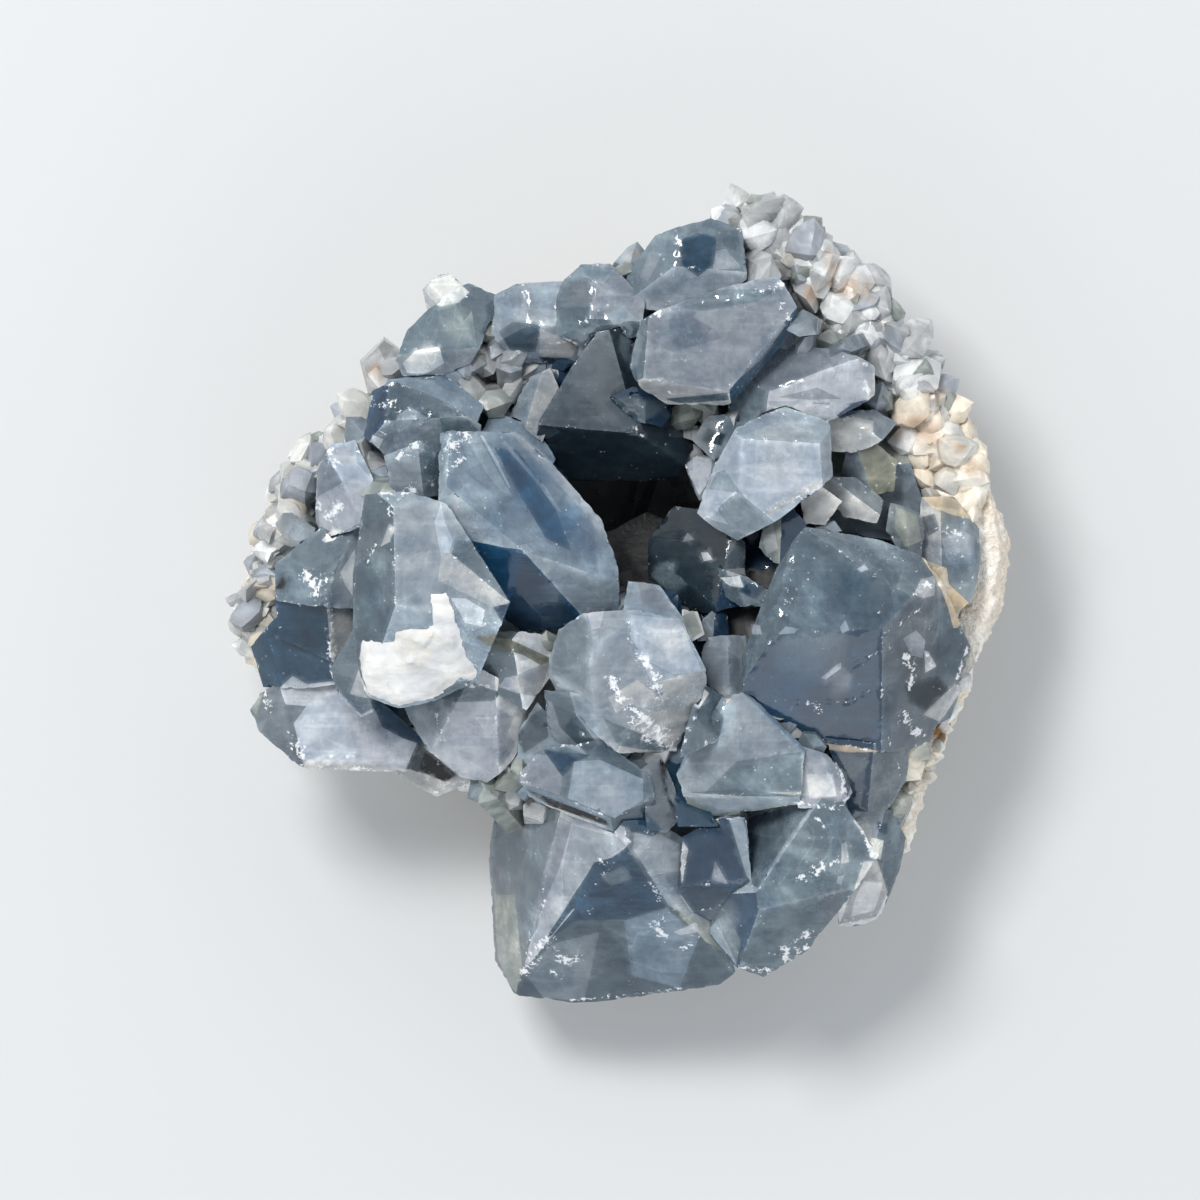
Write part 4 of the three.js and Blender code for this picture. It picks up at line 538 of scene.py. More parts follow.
# Small crystals along the rim: whether a bunch has to cover them, radius from and to, tones,
# plan line
RIM_LINES = [
    (False, 0.9, 1.6, ("chalk", "shell", "frost", "white"), [
        (44.8, -9), (44.5, -12), (41, -20), (37.6, -29), (33.4, -34.6),
    ]),
    (True, 1.4, 2.3, ("grey", "frost", "cream", "ash"), [
        (44.5, -12), (41, -20), (37.6, -29), (33.4, -34.6), (26, -37), (17, -39.4), (6, -41.2),
        (-5, -41.6), (-9.8, -39.2), (-10.8, -33), (-12, -25.6), (-18.4, -20), (-27, -18), (-35, -16.6),
        (-39.2, -12.4), (-42, -7),
    ]),
]

# Mesh sizes: at sharp edges, far from them, and how fast the size grows between
EDGE_MESH = 0.45
FACE_MESH = 1.2
MESH_GRADE = 0.6
LINING_MESH = 2.0
ROCK_MESH = 1.0
REFINE_ROUNDS = 7

# Angles in degrees: a sharp edge of a facet, and the creases that stay sharp in each material
SHARP_ANGLE = 12.0
CRYSTAL_CREASE = 28
DRUSE_CREASE = 32
ROCK_CREASE = 32
CRUST_CREASE = 35

# Wear along the edges and flakes, and how far a facet stands out to cover the solid
EDGE_SAMPLE = 0.3
WEAR_REACH = 0.55
FLAKE_STEP = 0.25
SWELL = 0.14
PATCH_SOFTNESS = 0.7

# Small crystals: how many shapes, how rounded, how far apart, where their neighbours are sought
SHAPES = 14
ROUNDING = 0.3
GAP_SPACING = 1.8
RIM_SPACING = 0.8
GAP_REACH = (2.2, 4.6)
GAP_LOOKS = 16
LOOK_TURN = 0.393


def plan(x, y, z=0.0):
    """A plan place in the model's frame, in metres."""
    return (Vector((x, y, z)) + VIEW_MIDDLE) * MM


def from_above(tree, x, y):
    """What lies under a plan place: spot, normal, face and distance."""
    return tree.ray_cast(plan(x, y, ABOVE_ALL), DOWN)


def linear(tone):
    """A tone as linear colour."""
    def channel(value):
        value /= 255
        return value / 12.92 if value <= 0.04045 else ((value + 0.055) / 1.055) ** 2.4

    return [channel(value) for value in TONES[tone][:3]]


def inside(x, y, outline):
    """Whether a plan place lies inside an outline."""
    found = False
    for (xa, ya), (xb, yb) in zip(outline, outline[1:] + outline[:1]):
        if (ya > y) != (yb > y) and x < (xb - xa) * (y - ya) / (yb - ya) + xa:
            found = not found
    return found


class Nodes:
    """Makes and joins the nodes of one material."""

    def __init__(self, tree):
        self.tree = tree
        tree.nodes.clear()

    def add(self, kind, inputs=None, **settings):
        node = self.tree.nodes.new(kind)
        for name, value in settings.items():
            setattr(node, name, value)
        for name, value in (inputs or {}).items():
            socket = node.inputs[name]
            if isinstance(value, bpy.types.NodeSocket):
                self.tree.links.new(value, socket)
            else:
                socket.default_value = value
        return node

    def attribute(self, name, output="Fac"):
        return self.add("ShaderNodeAttribute", attribute_name=name).outputs[output]

    def math(self, operation, a, b=0.0):
        return self.add("ShaderNodeMath", {0: a, 1: b}, operation=operation).outputs[0]

    def range(self, value, low, high, to_low=0.0, to_high=1.0):
        inputs = {
            "Value": value, "From Min": low, "From Max": high, "To Min": to_low, "To Max": to_high,
        }
        return self.add("ShaderNodeMapRange", inputs, interpolation_type="SMOOTHSTEP").outputs[0]

    def mix(self, factor, a, b, blend="MIX"):
        inputs = {0: factor, 6: a, 7: b}
        return self.add("ShaderNodeMix", inputs, data_type="RGBA", blend_type=blend).outputs[2]

    def lit(self, base, factor, gain):
        """The base, multiplied by a gain as far as the factor says."""
        return self.mix(factor, base, self.mix(1.0, base, (*gain, 1), "MULTIPLY"))

    def between(self, base, factor, low, high):
        """The base, multiplied by a colour that goes from low to high with the factor."""
        return self.mix(1.0, base, self.mix(factor, (*low, 1), (*high, 1)), "MULTIPLY")

    def stretched(self, place, turn, scale):
        inputs = {"Vector": place, "Rotation": turn, "Scale": scale}
        return self.add("ShaderNodeMapping", inputs).outputs[0]

    def noise(self, place, scale, detail=3.0, roughness=0.55, distortion=0.0):
        inputs = {
            "Vector": place, "Scale": scale, "Detail": detail,
            "Roughness": roughness, "Distortion": distortion,
        }
        return self.add("ShaderNodeTexNoise", inputs).outputs[0]

    def cells(self, place, scale, feature="F1"):
        inputs = {"Vector": place, "Scale": scale}
        return self.add("ShaderNodeTexVoronoi", inputs, feature=feature).outputs["Distance"]

    def shards(self, place):
        """A value that jumps from one flat-sided cell to the next."""
        cells = self.add("ShaderNodeTexVoronoi", {"Vector": place, "Scale": 1.0}).outputs["Color"]
        return self.add("ShaderNodeSeparateColor", {"Color": cells}).outputs[0]

    def bump(self, height, strength, distance):
        inputs = {"Height": height, "Strength": strength, "Distance": distance * MM}
        return self.add("ShaderNodeBump", inputs).outputs[0]


def new_material(name):
    material = bpy.data.materials.new(name)
    material.use_nodes = True
    return material, Nodes(material.node_tree)


def colour(tone):
    return (*linear(tone), 1.0)


def crystal_material(name, absorbed, density):
    """Glassy celestite: facet tones, inner facets, veils, growth lines, specks, worn edges and painted
    light.
    """
    material, t = new_material(name)
    place = t.add("ShaderNodeTexCoord").outputs["Object"]

    # The tint holds the soft patches of painted light and shade.
    tint = t.attribute("tint", "Alpha")
    base = t.mix(tint, t.attribute("tone", "Color"), t.attribute("tint", "Color"))
    # Flat-sided inner cells, each a little lighter or darker: painted inner reflections.
    shards = t.shards(t.stretched(place, (0.5, 0.3, 0.9), (130, 330, 200)))
    base = t.between(base, shards, (0.88, 0.9, 0.92), (1.14, 1.13, 1.1))
    broad = t.noise(place, 60, 2)
    # Some inner cells lit up where the broad noise is high: painted inner reflections.
    inner_reflection_slabs = t.shards(t.stretched(place, (1.1, 0.4, 0.2), (240, 90, 420)))
    inner_reflection_slabs = t.math("MULTIPLY", t.range(inner_reflection_slabs, 0.7, 0.75), t.range(broad, 0.45, 0.6))
    base = t.lit(base, t.math("MULTIPLY", inner_reflection_slabs, 0.45), (1.4, 1.38, 1.33))
    clouds = t.noise(place, 110, 4, 0.62, 0.8)
    base = t.lit(base, t.range(clouds, 0.42, 0.72, 0.0, 0.7), (1.5, 1.46, 1.38))
    # Darker blue in broad patches: painted shade of the deep inside.
    depth = t.noise(place, 75, 3, 0.55, 1.4)
    base = t.lit(base, t.range(depth, 0.44, 0.66, 0.0, 0.7), (0.55, 0.63, 0.7))
    lines = t.noise(t.stretched(place, (0.3, 0.5, 0.9), (60, 900, 240)), 1.0, 2, 0.6)
    base = t.lit(base, t.range(lines, 0.52, 0.72, 0.0, 0.4), (1.45, 1.43, 1.38))
    streaks = t.noise(t.stretched(place, (1.2, 0.2, 0.4), (1500, 110, 500)), 1.0, 3, 0.65)
    base = t.lit(base, t.range(streaks, 0.55, 0.8, 0.0, 0.45), (1.5, 1.48, 1.42))
    mottle = t.noise(place, 480, 3, 0.7)
    base = t.between(base, t.range(mottle, 0.3, 0.7), (0.82, 0.84, 0.86), (1.2, 1.18, 1.15))
    wisp = t.math("ABSOLUTE", t.math("SUBTRACT", t.noise(place, 85, 3, 0.5, 0.8), 0.5))
    wisp = t.math("MULTIPLY", t.range(wisp, 0.01, 0.0), t.range(broad, 0.48, 0.62, 0.0, 0.4))
    base = t.lit(base, wisp, (1.8, 1.75, 1.66))
    # Lighter along the sharp edges: a painted highlight.
    base = t.lit(base, t.attribute("edge"), (1.7, 1.66, 1.6))
    # Fine bright crackle in some patches: painted sparkle.
    crack_sparkle_zone = t.range(depth, 0.56, 0.66)
    crack_sparkle = t.range(t.noise(place, 1300, 2, 0.8, 2.0), 0.52, 0.64)
    crack_sparkle = t.math("MULTIPLY", t.math("MULTIPLY", crack_sparkle, crack_sparkle_zone), 0.6)
    base = t.lit(base, crack_sparkle, (1.8, 1.75, 1.7))
    speck_zone = t.range(clouds, 0.46, 0.66)
    speck = t.math("MULTIPLY", t.range(t.cells(place, 800), 0.17, 0.08), speck_zone)
    grain = t.noise(place, 1500, 3, 0.75)
    ragged = t.math("MULTIPLY", t.math("SUBTRACT", grain, 0.5), 2.4)
    worn = t.math("ADD", t.math("MULTIPLY", t.attribute("wear"), 0.8), ragged)
    worn = t.range(worn, 0.5, 0.75, 0.0, 0.9)
    white = t.math("MAXIMUM", t.math("MULTIPLY", speck, 0.55), worn)
    base = t.mix(white, base, colour("frost"))

    veil = t.math("MAXIMUM", t.range(clouds, 0.5, 0.78, 0.0, 0.4), white)
    clear = t.math("SUBTRACT", 1.0, veil)
    transmission = t.math("MULTIPLY", clear, t.attribute("clear"))
    scuffs = t.range(mottle, 0.3, 0.75, 0.06, 0.2)
    milky = t.range(t.attribute("clear"), 0.45, 0.1, 0.0, 0.5)
    roughness = t.math("ADD", t.math("ADD", scuffs, milky), t.math("MULTIPLY", white, 0.4))
    relief = t.math("ADD", t.math("MULTIPLY", lines, 0.7), t.math("MULTIPLY", mottle, 0.8))
    shader = t.add("ShaderNodeBsdfPrincipled", {
        "Base Color": base, "Roughness": roughness, "IOR": 1.62, "Specular IOR Level": 0.3,
        "Transmission Weight": transmission, "Normal": t.bump(relief, 0.35, 0.12),
    })
    volume = t.add("ShaderNodeVolumeAbsorption", {"Color": (*absorbed, 1), "Density": density})
    t.add("ShaderNodeOutputMaterial", {"Surface": shader.outputs[0], "Volume": volume.outputs[0]})
    return material


def druse_material():
    """Small clear and milky crystals, each with its own tone."""
    material, t = new_material("druse_glassy")
    place = t.add("ShaderNodeTexCoord").outputs["Object"]
    # The tone holds each crystal's colour, the stains and the painted black shade of the hollow.
    base = t.attribute("tone", "Color")
    clouds = t.noise(place, 320, 3, 0.6, 0.6)
    base = t.between(base, t.range(clouds, 0.3, 0.7), (0.78, 0.79, 0.78), (1.2, 1.19, 1.16))
    dark = t.noise(place, 160, 3, 0.5, 0.8)
    base = t.lit(base, t.range(dark, 0.5, 0.7, 0.0, 0.4), (0.62, 0.64, 0.62))
    grain = t.noise(place, 1400, 4, 0.75)
    base = t.lit(base, t.range(grain, 0.58, 0.72, 0.0, 0.6), (1.4, 1.39, 1.36))
    milky = t.range(clouds, 0.4, 0.7, 0.0, 0.5)
    transmission = t.math("MULTIPLY", t.math("SUBTRACT", 0.8, milky), t.attribute("clear"))
    roughness = t.range(dark, 0.3, 0.75, 0.2, 0.5)
    shader = t.add("ShaderNodeBsdfPrincipled", {
        "Base Color": base, "Roughness": roughness, "IOR": 1.6,
        "Transmission Weight": transmission, "Normal": t.bump(t.noise(place, 900, 2, 0.6), 0.4, 0.12),
    })
    t.add("ShaderNodeOutputMaterial", {"Surface": shader.outputs[0]})
    return material


def rock_material():
    """Chalky pale rock with beige patches, rusty stains, grains and painted shade in its pits."""
    material, t = new_material("rock_chalky")
    place = t.add("ShaderNodeTexCoord").outputs["Object"]
    patches = t.noise(place, 75, 4, 0.65, 0.5)
    base = t.mix(t.range(patches, 0.42, 0.6), colour("chalk"), colour("shell"))
    grime = t.noise(place, 170, 5, 0.72, 0.6)
    base = t.mix(t.range(grime, 0.58, 0.74, 0.0, 0.35), base, colour("sand"))
    chalk = t.noise(place, 240, 4, 0.7, 0.3)
    base = t.mix(t.range(chalk, 0.54, 0.68, 0.0, 0.25), base, colour("grey"))
    # The tint holds the stains and the painted shade of the hollow.
    base = t.mix(t.attribute("tint", "Alpha"), base, t.attribute("tint", "Color"))
    # Lighter where the bump rises and darker in its low places: painted shade in the pits.
    coarse = t.noise(place, 650, 4, 0.75)
    base = t.between(base, t.range(coarse, 0.36, 0.62), (0.95, 0.94, 0.93), (1.16, 1.18, 1.2))
    grains = t.cells(place, 1300)
    base = t.lit(base, t.range(grains, 0.3, 0.8, 0.0, 0.25), (0.75, 0.72, 0.68))
    relief = t.math("ADD", coarse, t.math("MULTIPLY", t.noise(place, 2200, 2, 0.6), 0.3))
    shader = t.add("ShaderNodeBsdfPrincipled", {
        "Base Color": base, "Roughness": t.range(grime, 0.3, 0.7, 0.78, 0.95), "IOR": 1.5,
        "Normal": t.bump(relief, 1.0, 0.8),
    })
    t.add("ShaderNodeOutputMaterial", {"Surface": shader.outputs[0]})
    return material


def crust_material():
    """The off-white crust on the frosted crystal, with painted light and shade on its plates."""
    material, t = new_material("white_crust")
    place = t.add("ShaderNodeTexCoord").outputs["Object"]
    shades = t.noise(place, 160, 5, 0.65, 0.4)
    base = t.mix(t.range(shades, 0.42, 0.62), colour("white"), colour("grey"))
    warm = t.range(t.noise(place, 110, 4, 0.6, 0.3), 0.52, 0.68, 0.0, 0.7)
    base = t.mix(warm, base, colour("cream"))
    # Lighter on the raised plates and darker between them, as the bump: painted light and shade.
    plates = t.noise(t.stretched(place, (0.2, 0.1, 0.4), (220, 380, 300)), 1.0, 5, 0.65, 0.4)
    base = t.between(base, t.range(plates, 0.36, 0.6), (0.98, 0.98, 0.97), (1.2, 1.2, 1.2))
    shader = t.add("ShaderNodeBsdfPrincipled", {
        "Base Color": base, "Roughness": t.range(shades, 0.3, 0.7, 0.45, 0.75), "IOR": 1.55,
        "Normal": t.bump(plates, 0.7, 0.4),
    })
    t.add("ShaderNodeOutputMaterial", {"Surface": shader.outputs[0]})
    return material


def floor_material():
    material, t = new_material("floor_pale")
    place = t.add("ShaderNodeTexCoord").outputs["Object"]
    base = t.mix(t.noise(place, 3, 2), (0.566, 0.578, 0.588, 1), (0.576, 0.588, 0.598, 1))
    shader = t.add("ShaderNodeBsdfPrincipled", {
        "Base Color": base, "Roughness": 0.9, "Specular IOR Level": 0.1,
    })
    t.add("ShaderNodeOutputMaterial", {"Surface": shader.outputs[0]})
    return material


def facets_of(node):
    """A node's mesh with its flat triangles joined into whole facets."""
    bm = bmesh.new()
    bm.from_mesh(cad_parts[node].data)
    bmesh.ops.remove_doubles(bm, verts=bm.verts, dist=WELD)
    bmesh.ops.dissolve_limit(
        bm, angle_limit=math.radians(1.0), use_dissolve_boundaries=False, verts=bm.verts,
        edges=bm.edges,
    )
    bmesh.ops.dissolve_degenerate(bm, edges=bm.edges, dist=0.02 * MM)
    bm.normal_update()
    bm.faces.ensure_lookup_table()
    return bm


def sharp_edges(bm):
    least = math.radians(SHARP_ANGLE)
    return [e for e in bm.edges if e.is_manifold and e.calc_face_angle(0) > least]


def edge_points(edges):
    """Points along edges."""
    points = []
    for edge in edges:
        a, b = (v.co for v in edge.verts)
        steps = max(1, round((b - a).length / (EDGE_SAMPLE * MM)))
        points += [a.lerp(b, i / steps) for i in range(steps + 1)]
    return points


def same_kind(edge, layers):
    a, b = edge.link_faces
    return all(a[layer] == b[layer] for layer in layers)


def refine(bm, near, fine=EDGE_MESH, coarse=FACE_MESH):
    """Splits long edges, finer near the sharp ones."""
    layers = list(bm.faces.layers.int.values())
    bmesh.ops.triangulate(bm, faces=bm.faces)
    for _ in range(REFINE_ROUNDS):
        split = []
        for edge in bm.edges:
            length = edge.calc_length()
            if length < fine * MM:
                continue
            a, b = (v.co for v in edge.verts)
            gap = near.find((a + b) / 2)[2]
            if length > min(coarse * MM, fine * MM + gap * MESH_GRADE):
                split.append(edge)
        if not split:
            break
        bmesh.ops.subdivide_edges(bm, edges=split, cuts=1)
        bmesh.ops.triangulate(bm, faces=[f for f in bm.faces if len(f.verts) > 3])
        flat = [e for e in bm.edges if e.is_manifold and e.calc_face_angle(0) < math.radians(0.5)]
        flat = [e for e in flat if same_kind(e, layers)]
        bmesh.ops.beautify_fill(bm, faces=bm.faces, edges=flat)


def mark_sharp(mesh, angle):
    """Shades a mesh smooth, except across edges sharper than the angle in degrees."""
    bm = bmesh.new()
    bm.from_mesh(mesh)
    for edge in bm.edges:
        edge.smooth = edge.calc_face_angle(0) < math.radians(angle)
    for face in bm.faces:
        face.smooth = True
    bm.to_mesh(mesh)
    bm.free()


def put(name, mesh, material):
    """Adds a mesh as a piece that rides on the root body."""
    piece = bpy.data.objects.new(name, mesh)
    bpy.context.scene.collection.objects.link(piece)
    mesh.materials.append(material)
    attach(piece, "root")
    return piece


def store(mesh, name, kind, domain, values, channel):
    """Keeps values on a mesh for its material."""
    layer = mesh.attributes.new(name, kind, domain)
    layer.data.foreach_set(channel, np.asarray(values, np.float32).ravel())


def softened(bm, tag, tones):
    """The tone at each face corner, mixed with those of the same facet around it."""
    around = {}
    for face in bm.faces:
        for vert in face.verts:
            around.setdefault((vert.index, face[tag]), []).append(tones[face.index])
    middles = {key: np.mean(found, axis=0) for key, found in around.items()}
    return [
        middles[vert.index, face[tag]] * PATCH_SOFTNESS + tones[face.index] * (1 - PATCH_SOFTNESS)
        for face in bm.faces for vert in face.verts
    ]


def soft_patches(points, patches):
    """The mixed colour and strength of soft patches at each point."""
    here = np.array([
        (p + noise.noise_vector(p * 0.25) * 1.2 + noise.noise_vector(p * 0.9) * 0.5)[:2]
        for p in (Vector(point) / MM - VIEW_MIDDLE for point in points)
    ])
    mixed = np.zeros((len(here), 3))
    total = np.zeros(len(here))
    for tone, spots in patches:
        for x, y, radius, strength in spots:
            away = np.hypot(here[:, 0] - x, here[:, 1] - y) / radius
            share = strength * np.clip(1 - away * away, 0, None) ** 1.5
            mixed += np.outer(share, linear(tone))
            total += share
    mixed /= np.maximum(total, 1e-9)[:, None]
    return np.column_stack([mixed, np.minimum(total, 1)])


def top_face(trees, x, y):
    """The node and face that show from above at a plan place."""
    hits = []
    for node, tree in trees.items():
        spot, _, index, _ = from_above(tree, x, y)
        if spot:
            hits.append((spot.z, node, index))
    return max(hits)[1:] if hits else (None, None)


def cut_patch(bm, outline, mark, number):
    """Cuts a plan outline into the upward faces of a mesh and marks the faces inside it."""
    corners = [plan(x, y) for x, y in outline]
    low = Vector((min(c.x for c in corners), min(c.y for c in corners)))
    high = Vector((max(c.x for c in corners), max(c.y for c in corners)))

    def near_faces():
        found = []
        for face in bm.faces:
            if face.normal.z < 0.1:
                continue
            xs = [v.co.x for v in face.verts]
            ys = [v.co.y for v in face.verts]
            if max(xs) > low.x and min(xs) < high.x and max(ys) > low.y and min(ys) < high.y:
                found.append(face)
        return found

    for a, b in zip(corners, corners[1:] + corners[:1]):
        side = Vector((b.y - a.y, a.x - b.x, 0)).normalized()
        faces = near_faces()
        edges = dict.fromkeys(e for f in faces for e in f.edges)
        verts = dict.fromkeys(v for f in faces for v in f.verts)
        bmesh.ops.bisect_plane(bm, geom=[*faces, *edges, *verts], dist=WELD, plane_co=a, plane_no=side)
    for face in near_faces():
        here = face.calc_center_median() / MM - VIEW_MIDDLE
        if inside(here.x, here.y, outline):
            face[mark] = number


def flake_points(trees):
    """Points along the chipped lines on each node, with their half widths."""
    found = {node: [] for node in trees}
    for half, line in FLAKES:
        for (xa, ya), (xb, yb) in zip(line, line[1:]):
            steps = max(1, int(math.hypot(xb - xa, yb - ya) / FLAKE_STEP))
            for i in range(steps + 1):
                x, y = xa + (xb - xa) * i / steps, ya + (yb - ya) * i / steps
                node, _ = top_face(trees, x, y)
                if node:
                    spot = from_above(trees[node], x, y)[0]
                    found[node].append((spot, float(half)))
    return found


def kd_tree(points):
    """A search tree of points. Where there are none, it holds one that is far from everything."""
    points = points or [Vector((9, 9, 9))]
    tree = KDTree(len(points))
    for i, point in enumerate(points):
        tree.insert(point, i)
    tree.balance()
    return tree


def facet_tones(trees):
    """The facets with a tone of their own, with their painted reflection and shade, by node."""
    own = {node: {} for node in BUNCHES}
    for tone, places in FACET_TONES:
        for place in places:
            node, facet = top_face(trees, *place)
            own[node][facet] = tone
    return own


def mark_patches(coarse, trees):
    """Numbers the facets, cuts the patches into them and marks the faces of each patch."""
    for bm in coarse.values():
        tag = bm.faces.layers.int.new("facet")
        bm.faces.layers.int.new("patch")
        for face in bm.faces:
            face[tag] = face.index
    for number, (_, outline) in enumerate(PATCHES, 1):
        middle = np.mean(outline, axis=0)
        spots = [middle] + [middle * 0.3 + np.array(corner) * 0.7 for corner in outline]
        nodes = {top_face(trees, *spot)[0] for spot in spots} - {None}
        for node in sorted(nodes):
            bm = coarse[node]
            cut_patch(bm, outline, bm.faces.layers.int["patch"], number)


def facet_painted_light(bm, own, rng):
    """How light each facet is painted. A steep one without a tone of its own is darker: painted shade."""
    tag = bm.faces.layers.int["facet"]
    shades = {}
    for face in bm.faces:
        facet = face[tag]
        if facet not in shades:
            steep_in_shade = face.normal.z < 0.3 and facet not in own
            # A small random change per facet: painted reflection.
            shades[facet] = (0.75 if steep_in_shade else 1.0) * (1 + rng.uniform(-0.08, 0.08))
    return shades


def weather(bm, near, chips, widths):
    """Wears the edges down and raises the flakes. Returns the wear and the edge light by vertex."""
    wear, edges, shifts = [], [], []
    for vert in bm.verts:
        closeness = max(0.0, 1 - near.find(vert.co)[2] / MM / WEAR_REACH)
        at = vert.co / MM
        chip = max(0.0, noise.noise(at * 0.9) + 0.35 * noise.noise(at * 2.3))
        broad = max(0.0, noise.noise(at * 0.21) - 0.1)
        flake = 0.0
        for _, index, away in chips.find_range(vert.co, 2 * MM):
            width = widths[index]
            flake = max(flake, min(1.0, 0.4 + 0.6 * width) - away / MM / (width * 1.4))
        flake *= 0.85 + 0.6 * noise.noise(at * 0.7)
        depth = closeness * (0.05 + 0.4 * chip + 0.6 * broad * chip)
        wave = 0.05 * noise.noise(at * 0.16) + 0.02 * noise.noise(at * 0.5)
        rise = 0.25 * flake * (0.4 + noise.noise(at * 1.9))
        shifts.append(vert.normal * ((wave + SWELL - depth + rise) * MM))
        wear.append(max(closeness * min(0.7, 0.1 + chip + broad), flake))
        edges.append(closeness * min(1.0, 0.3 + 0.6 * chip))
    for vert, shift in zip(bm.verts, shifts):
        vert.co += shift
    return wear, edges


def build_crystals():
    """Dresses each bunch in its facets, patches, flakes and wear, with painted reflections and shade."""
    rng = random.Random(5)
    coarse = {node: facets_of(node) for node in BUNCHES}
    trees = {node: BVHTree.FromBMesh(bm) for node, bm in coarse.items()}
    flakes = flake_points(trees)
    own = facet_tones(trees)
    mark_patches(coarse, trees)
    made = {}
    for node, (plain, slot) in BUNCHES.items():
        bm = coarse[node]
        bm.normal_update()
        tag, mark = bm.faces.layers.int["facet"], bm.faces.layers.int["patch"]
        shades = facet_painted_light(bm, own[node], rng)
        sharp = sharp_edges(bm)
        near = kd_tree(edge_points([e for e in sharp if e.is_convex]))
        spots = [spot for spot, _ in flakes[node]]
        refine(bm, kd_tree(edge_points(sharp) + spots))
        bm.normal_update()
        wear, edges = weather(bm, near, kd_tree(spots), [width for _, width in flakes[node]])
        painted_glow = soft_patches([vert.co for vert in bm.verts], PAINTED_GLOWS)
        tones = []
        clear = []
        for face in bm.faces:
            # A patch's tone, else the facet's own tone, else the plain tone with the facet's painted
            # shade.
            name = PATCHES[face[mark] - 1][0] if face[mark] else own[node].get(face[tag], plain)
            shade = 1.0 if face[mark] else shades[face[tag]]
            tones.append((*(c * shade for c in linear(name)), 1.0))
            clear.append(TONES[name][3])
        bm.faces.index_update()
        bm.verts.index_update()
        tones = softened(bm, tag, np.array(tones))
        mesh = bpy.data.meshes.new(node + "_look")
        bm.to_mesh(mesh)
        bm.free()
        store(mesh, "tone", "FLOAT_COLOR", "CORNER", tones, "color")
        store(mesh, "clear", "FLOAT", "FACE", clear, "value")
        store(mesh, "tint", "FLOAT_COLOR", "POINT", painted_glow, "color")
        store(mesh, "wear", "FLOAT", "POINT", wear, "value")
        store(mesh, "edge", "FLOAT", "POINT", edges, "value")
        mesh.validate()
        mark_sharp(mesh, CRYSTAL_CREASE)
        piece = put(node + "_look", mesh, CRYSTAL_MATERIALS[slot])
        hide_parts(node)
        made[node] = piece
    return made


def small_crystal_shapes(rounded):
    """A few blunt six-sided crystals, each as corners and faces, one unit across."""
    rng = random.Random(3)
    shapes = []
    for _ in range(SHAPES):
        bm = bmesh.new()
        sides = rng.choice((4, 5, 6, 6))
        turn = rng.uniform(0, 6.28)
        squash = rng.uniform(0.6, 1.0)
        ring = []
        for i in range(sides):
            angle = turn + 6.283 * i / sides + rng.uniform(-0.25, 0.25)
            out = rng.uniform(0.8, 1.1)
            ring.append((math.cos(angle) * out, math.sin(angle) * out * squash))
        shoulder = rng.uniform(0.1, 0.7)
        tip = shoulder + rng.uniform(0.3, 0.65)
        ridge = rng.uniform(0.25, 0.6)
        slant = rng.uniform(-0.3, 0.3)
        for x, y in ring:
            bm.verts.new((x * 0.85, y * 0.85, -1.0))
            bm.verts.new((x, y, shoulder + slant * x + rng.uniform(-0.12, 0.12)))
        for side in (-1, 1):
            bm.verts.new((side * ridge, rng.uniform(-0.2, 0.2), tip + rng.uniform(-0.1, 0.1)))
        bmesh.ops.convex_hull(bm, input=bm.verts)
        bmesh.ops.delete(bm, geom=[v for v in bm.verts if not v.link_faces], context="VERTS")
        if rounded:
            bmesh.ops.subdivide_edges(bm, edges=bm.edges, cuts=1, use_grid_fill=True)
            bmesh.ops.triangulate(bm, faces=bm.faces)
            bmesh.ops.smooth_vert(
                bm, verts=bm.verts, factor=ROUNDING, use_axis_x=True, use_axis_y=True, use_axis_z=True,
            )
        bm.verts.index_update()
        corners = np.array([v.co[:] for v in bm.verts])
        faces = [[v.index for v in f.verts] for f in bm.faces]
        shapes.append((corners, faces))
        bm.free()
    return shapes


class Joined:
    """Collects many small solids and the tone of each."""

    def __init__(self):
        self.corners, self.faces, self.tones = [], [], []
        self.count = 0

    def add(self, corners, faces, tone, rng):
        self.corners.append(corners)
        self.faces += [[self.count + i for i in face] for face in faces]
        shade = rng.uniform(0.94, 1.06)
        self.tones += [(*(c * shade for c in linear(tone)), TONES[tone][3])] * len(corners)
        self.count += len(corners)

    def mesh(self):
        mesh = bpy.data.meshes.new("small_crystals")
        mesh.from_pydata(np.concatenate(self.corners).tolist(), [], self.faces)
        return mesh


def grown_at(shape, spot, axis, radius, rng):
    """A small crystal's corners, set on a place along an axis."""
    corners, faces = shape
    turn = axis.to_track_quat("Z", "Y").to_matrix() @ Matrix.Rotation(rng.uniform(0, 6.28), 3, "Z")
    size = np.array([1, rng.uniform(0.75, 1.1), rng.uniform(0.8, 1.5)]) * radius * MM
    return (corners * size) @ np.array(turn).T + np.array(spot), faces


def line_rim(joined, shapes, ground, bunches, rng):
    """Sets small crystals along the rim."""
    for covered, small, large, tones, line in RIM_LINES:
        for (xa, ya), (xb, yb) in zip(line, line[1:]):
            steps = int(math.hypot(xb - xa, yb - ya) / RIM_SPACING)
            for i in range(steps):
                x = xa + (xb - xa) * i / steps + rng.uniform(-0.9, 0.9)
                y = ya + (yb - ya) * i / steps + rng.uniform(-0.9, 0.9)
                hits = [from_above(tree, x, y)[0] for tree in ground]
                heights = [hit.z for hit in hits if hit]
                if not heights or (covered and not top_face(bunches, x, y)[0]):
                    continue
                axis = Vector((rng.gauss(0, 0.3), rng.gauss(0, 0.3), 1)).normalized()
                spot = plan(x, y) + Vector((0, 0, max(heights)))
                radius = rng.uniform(small, large)
                corners, faces = grown_at(rng.choice(shapes), spot, axis, radius, rng)
                joined.add(corners, faces, rng.choice(tones), rng)


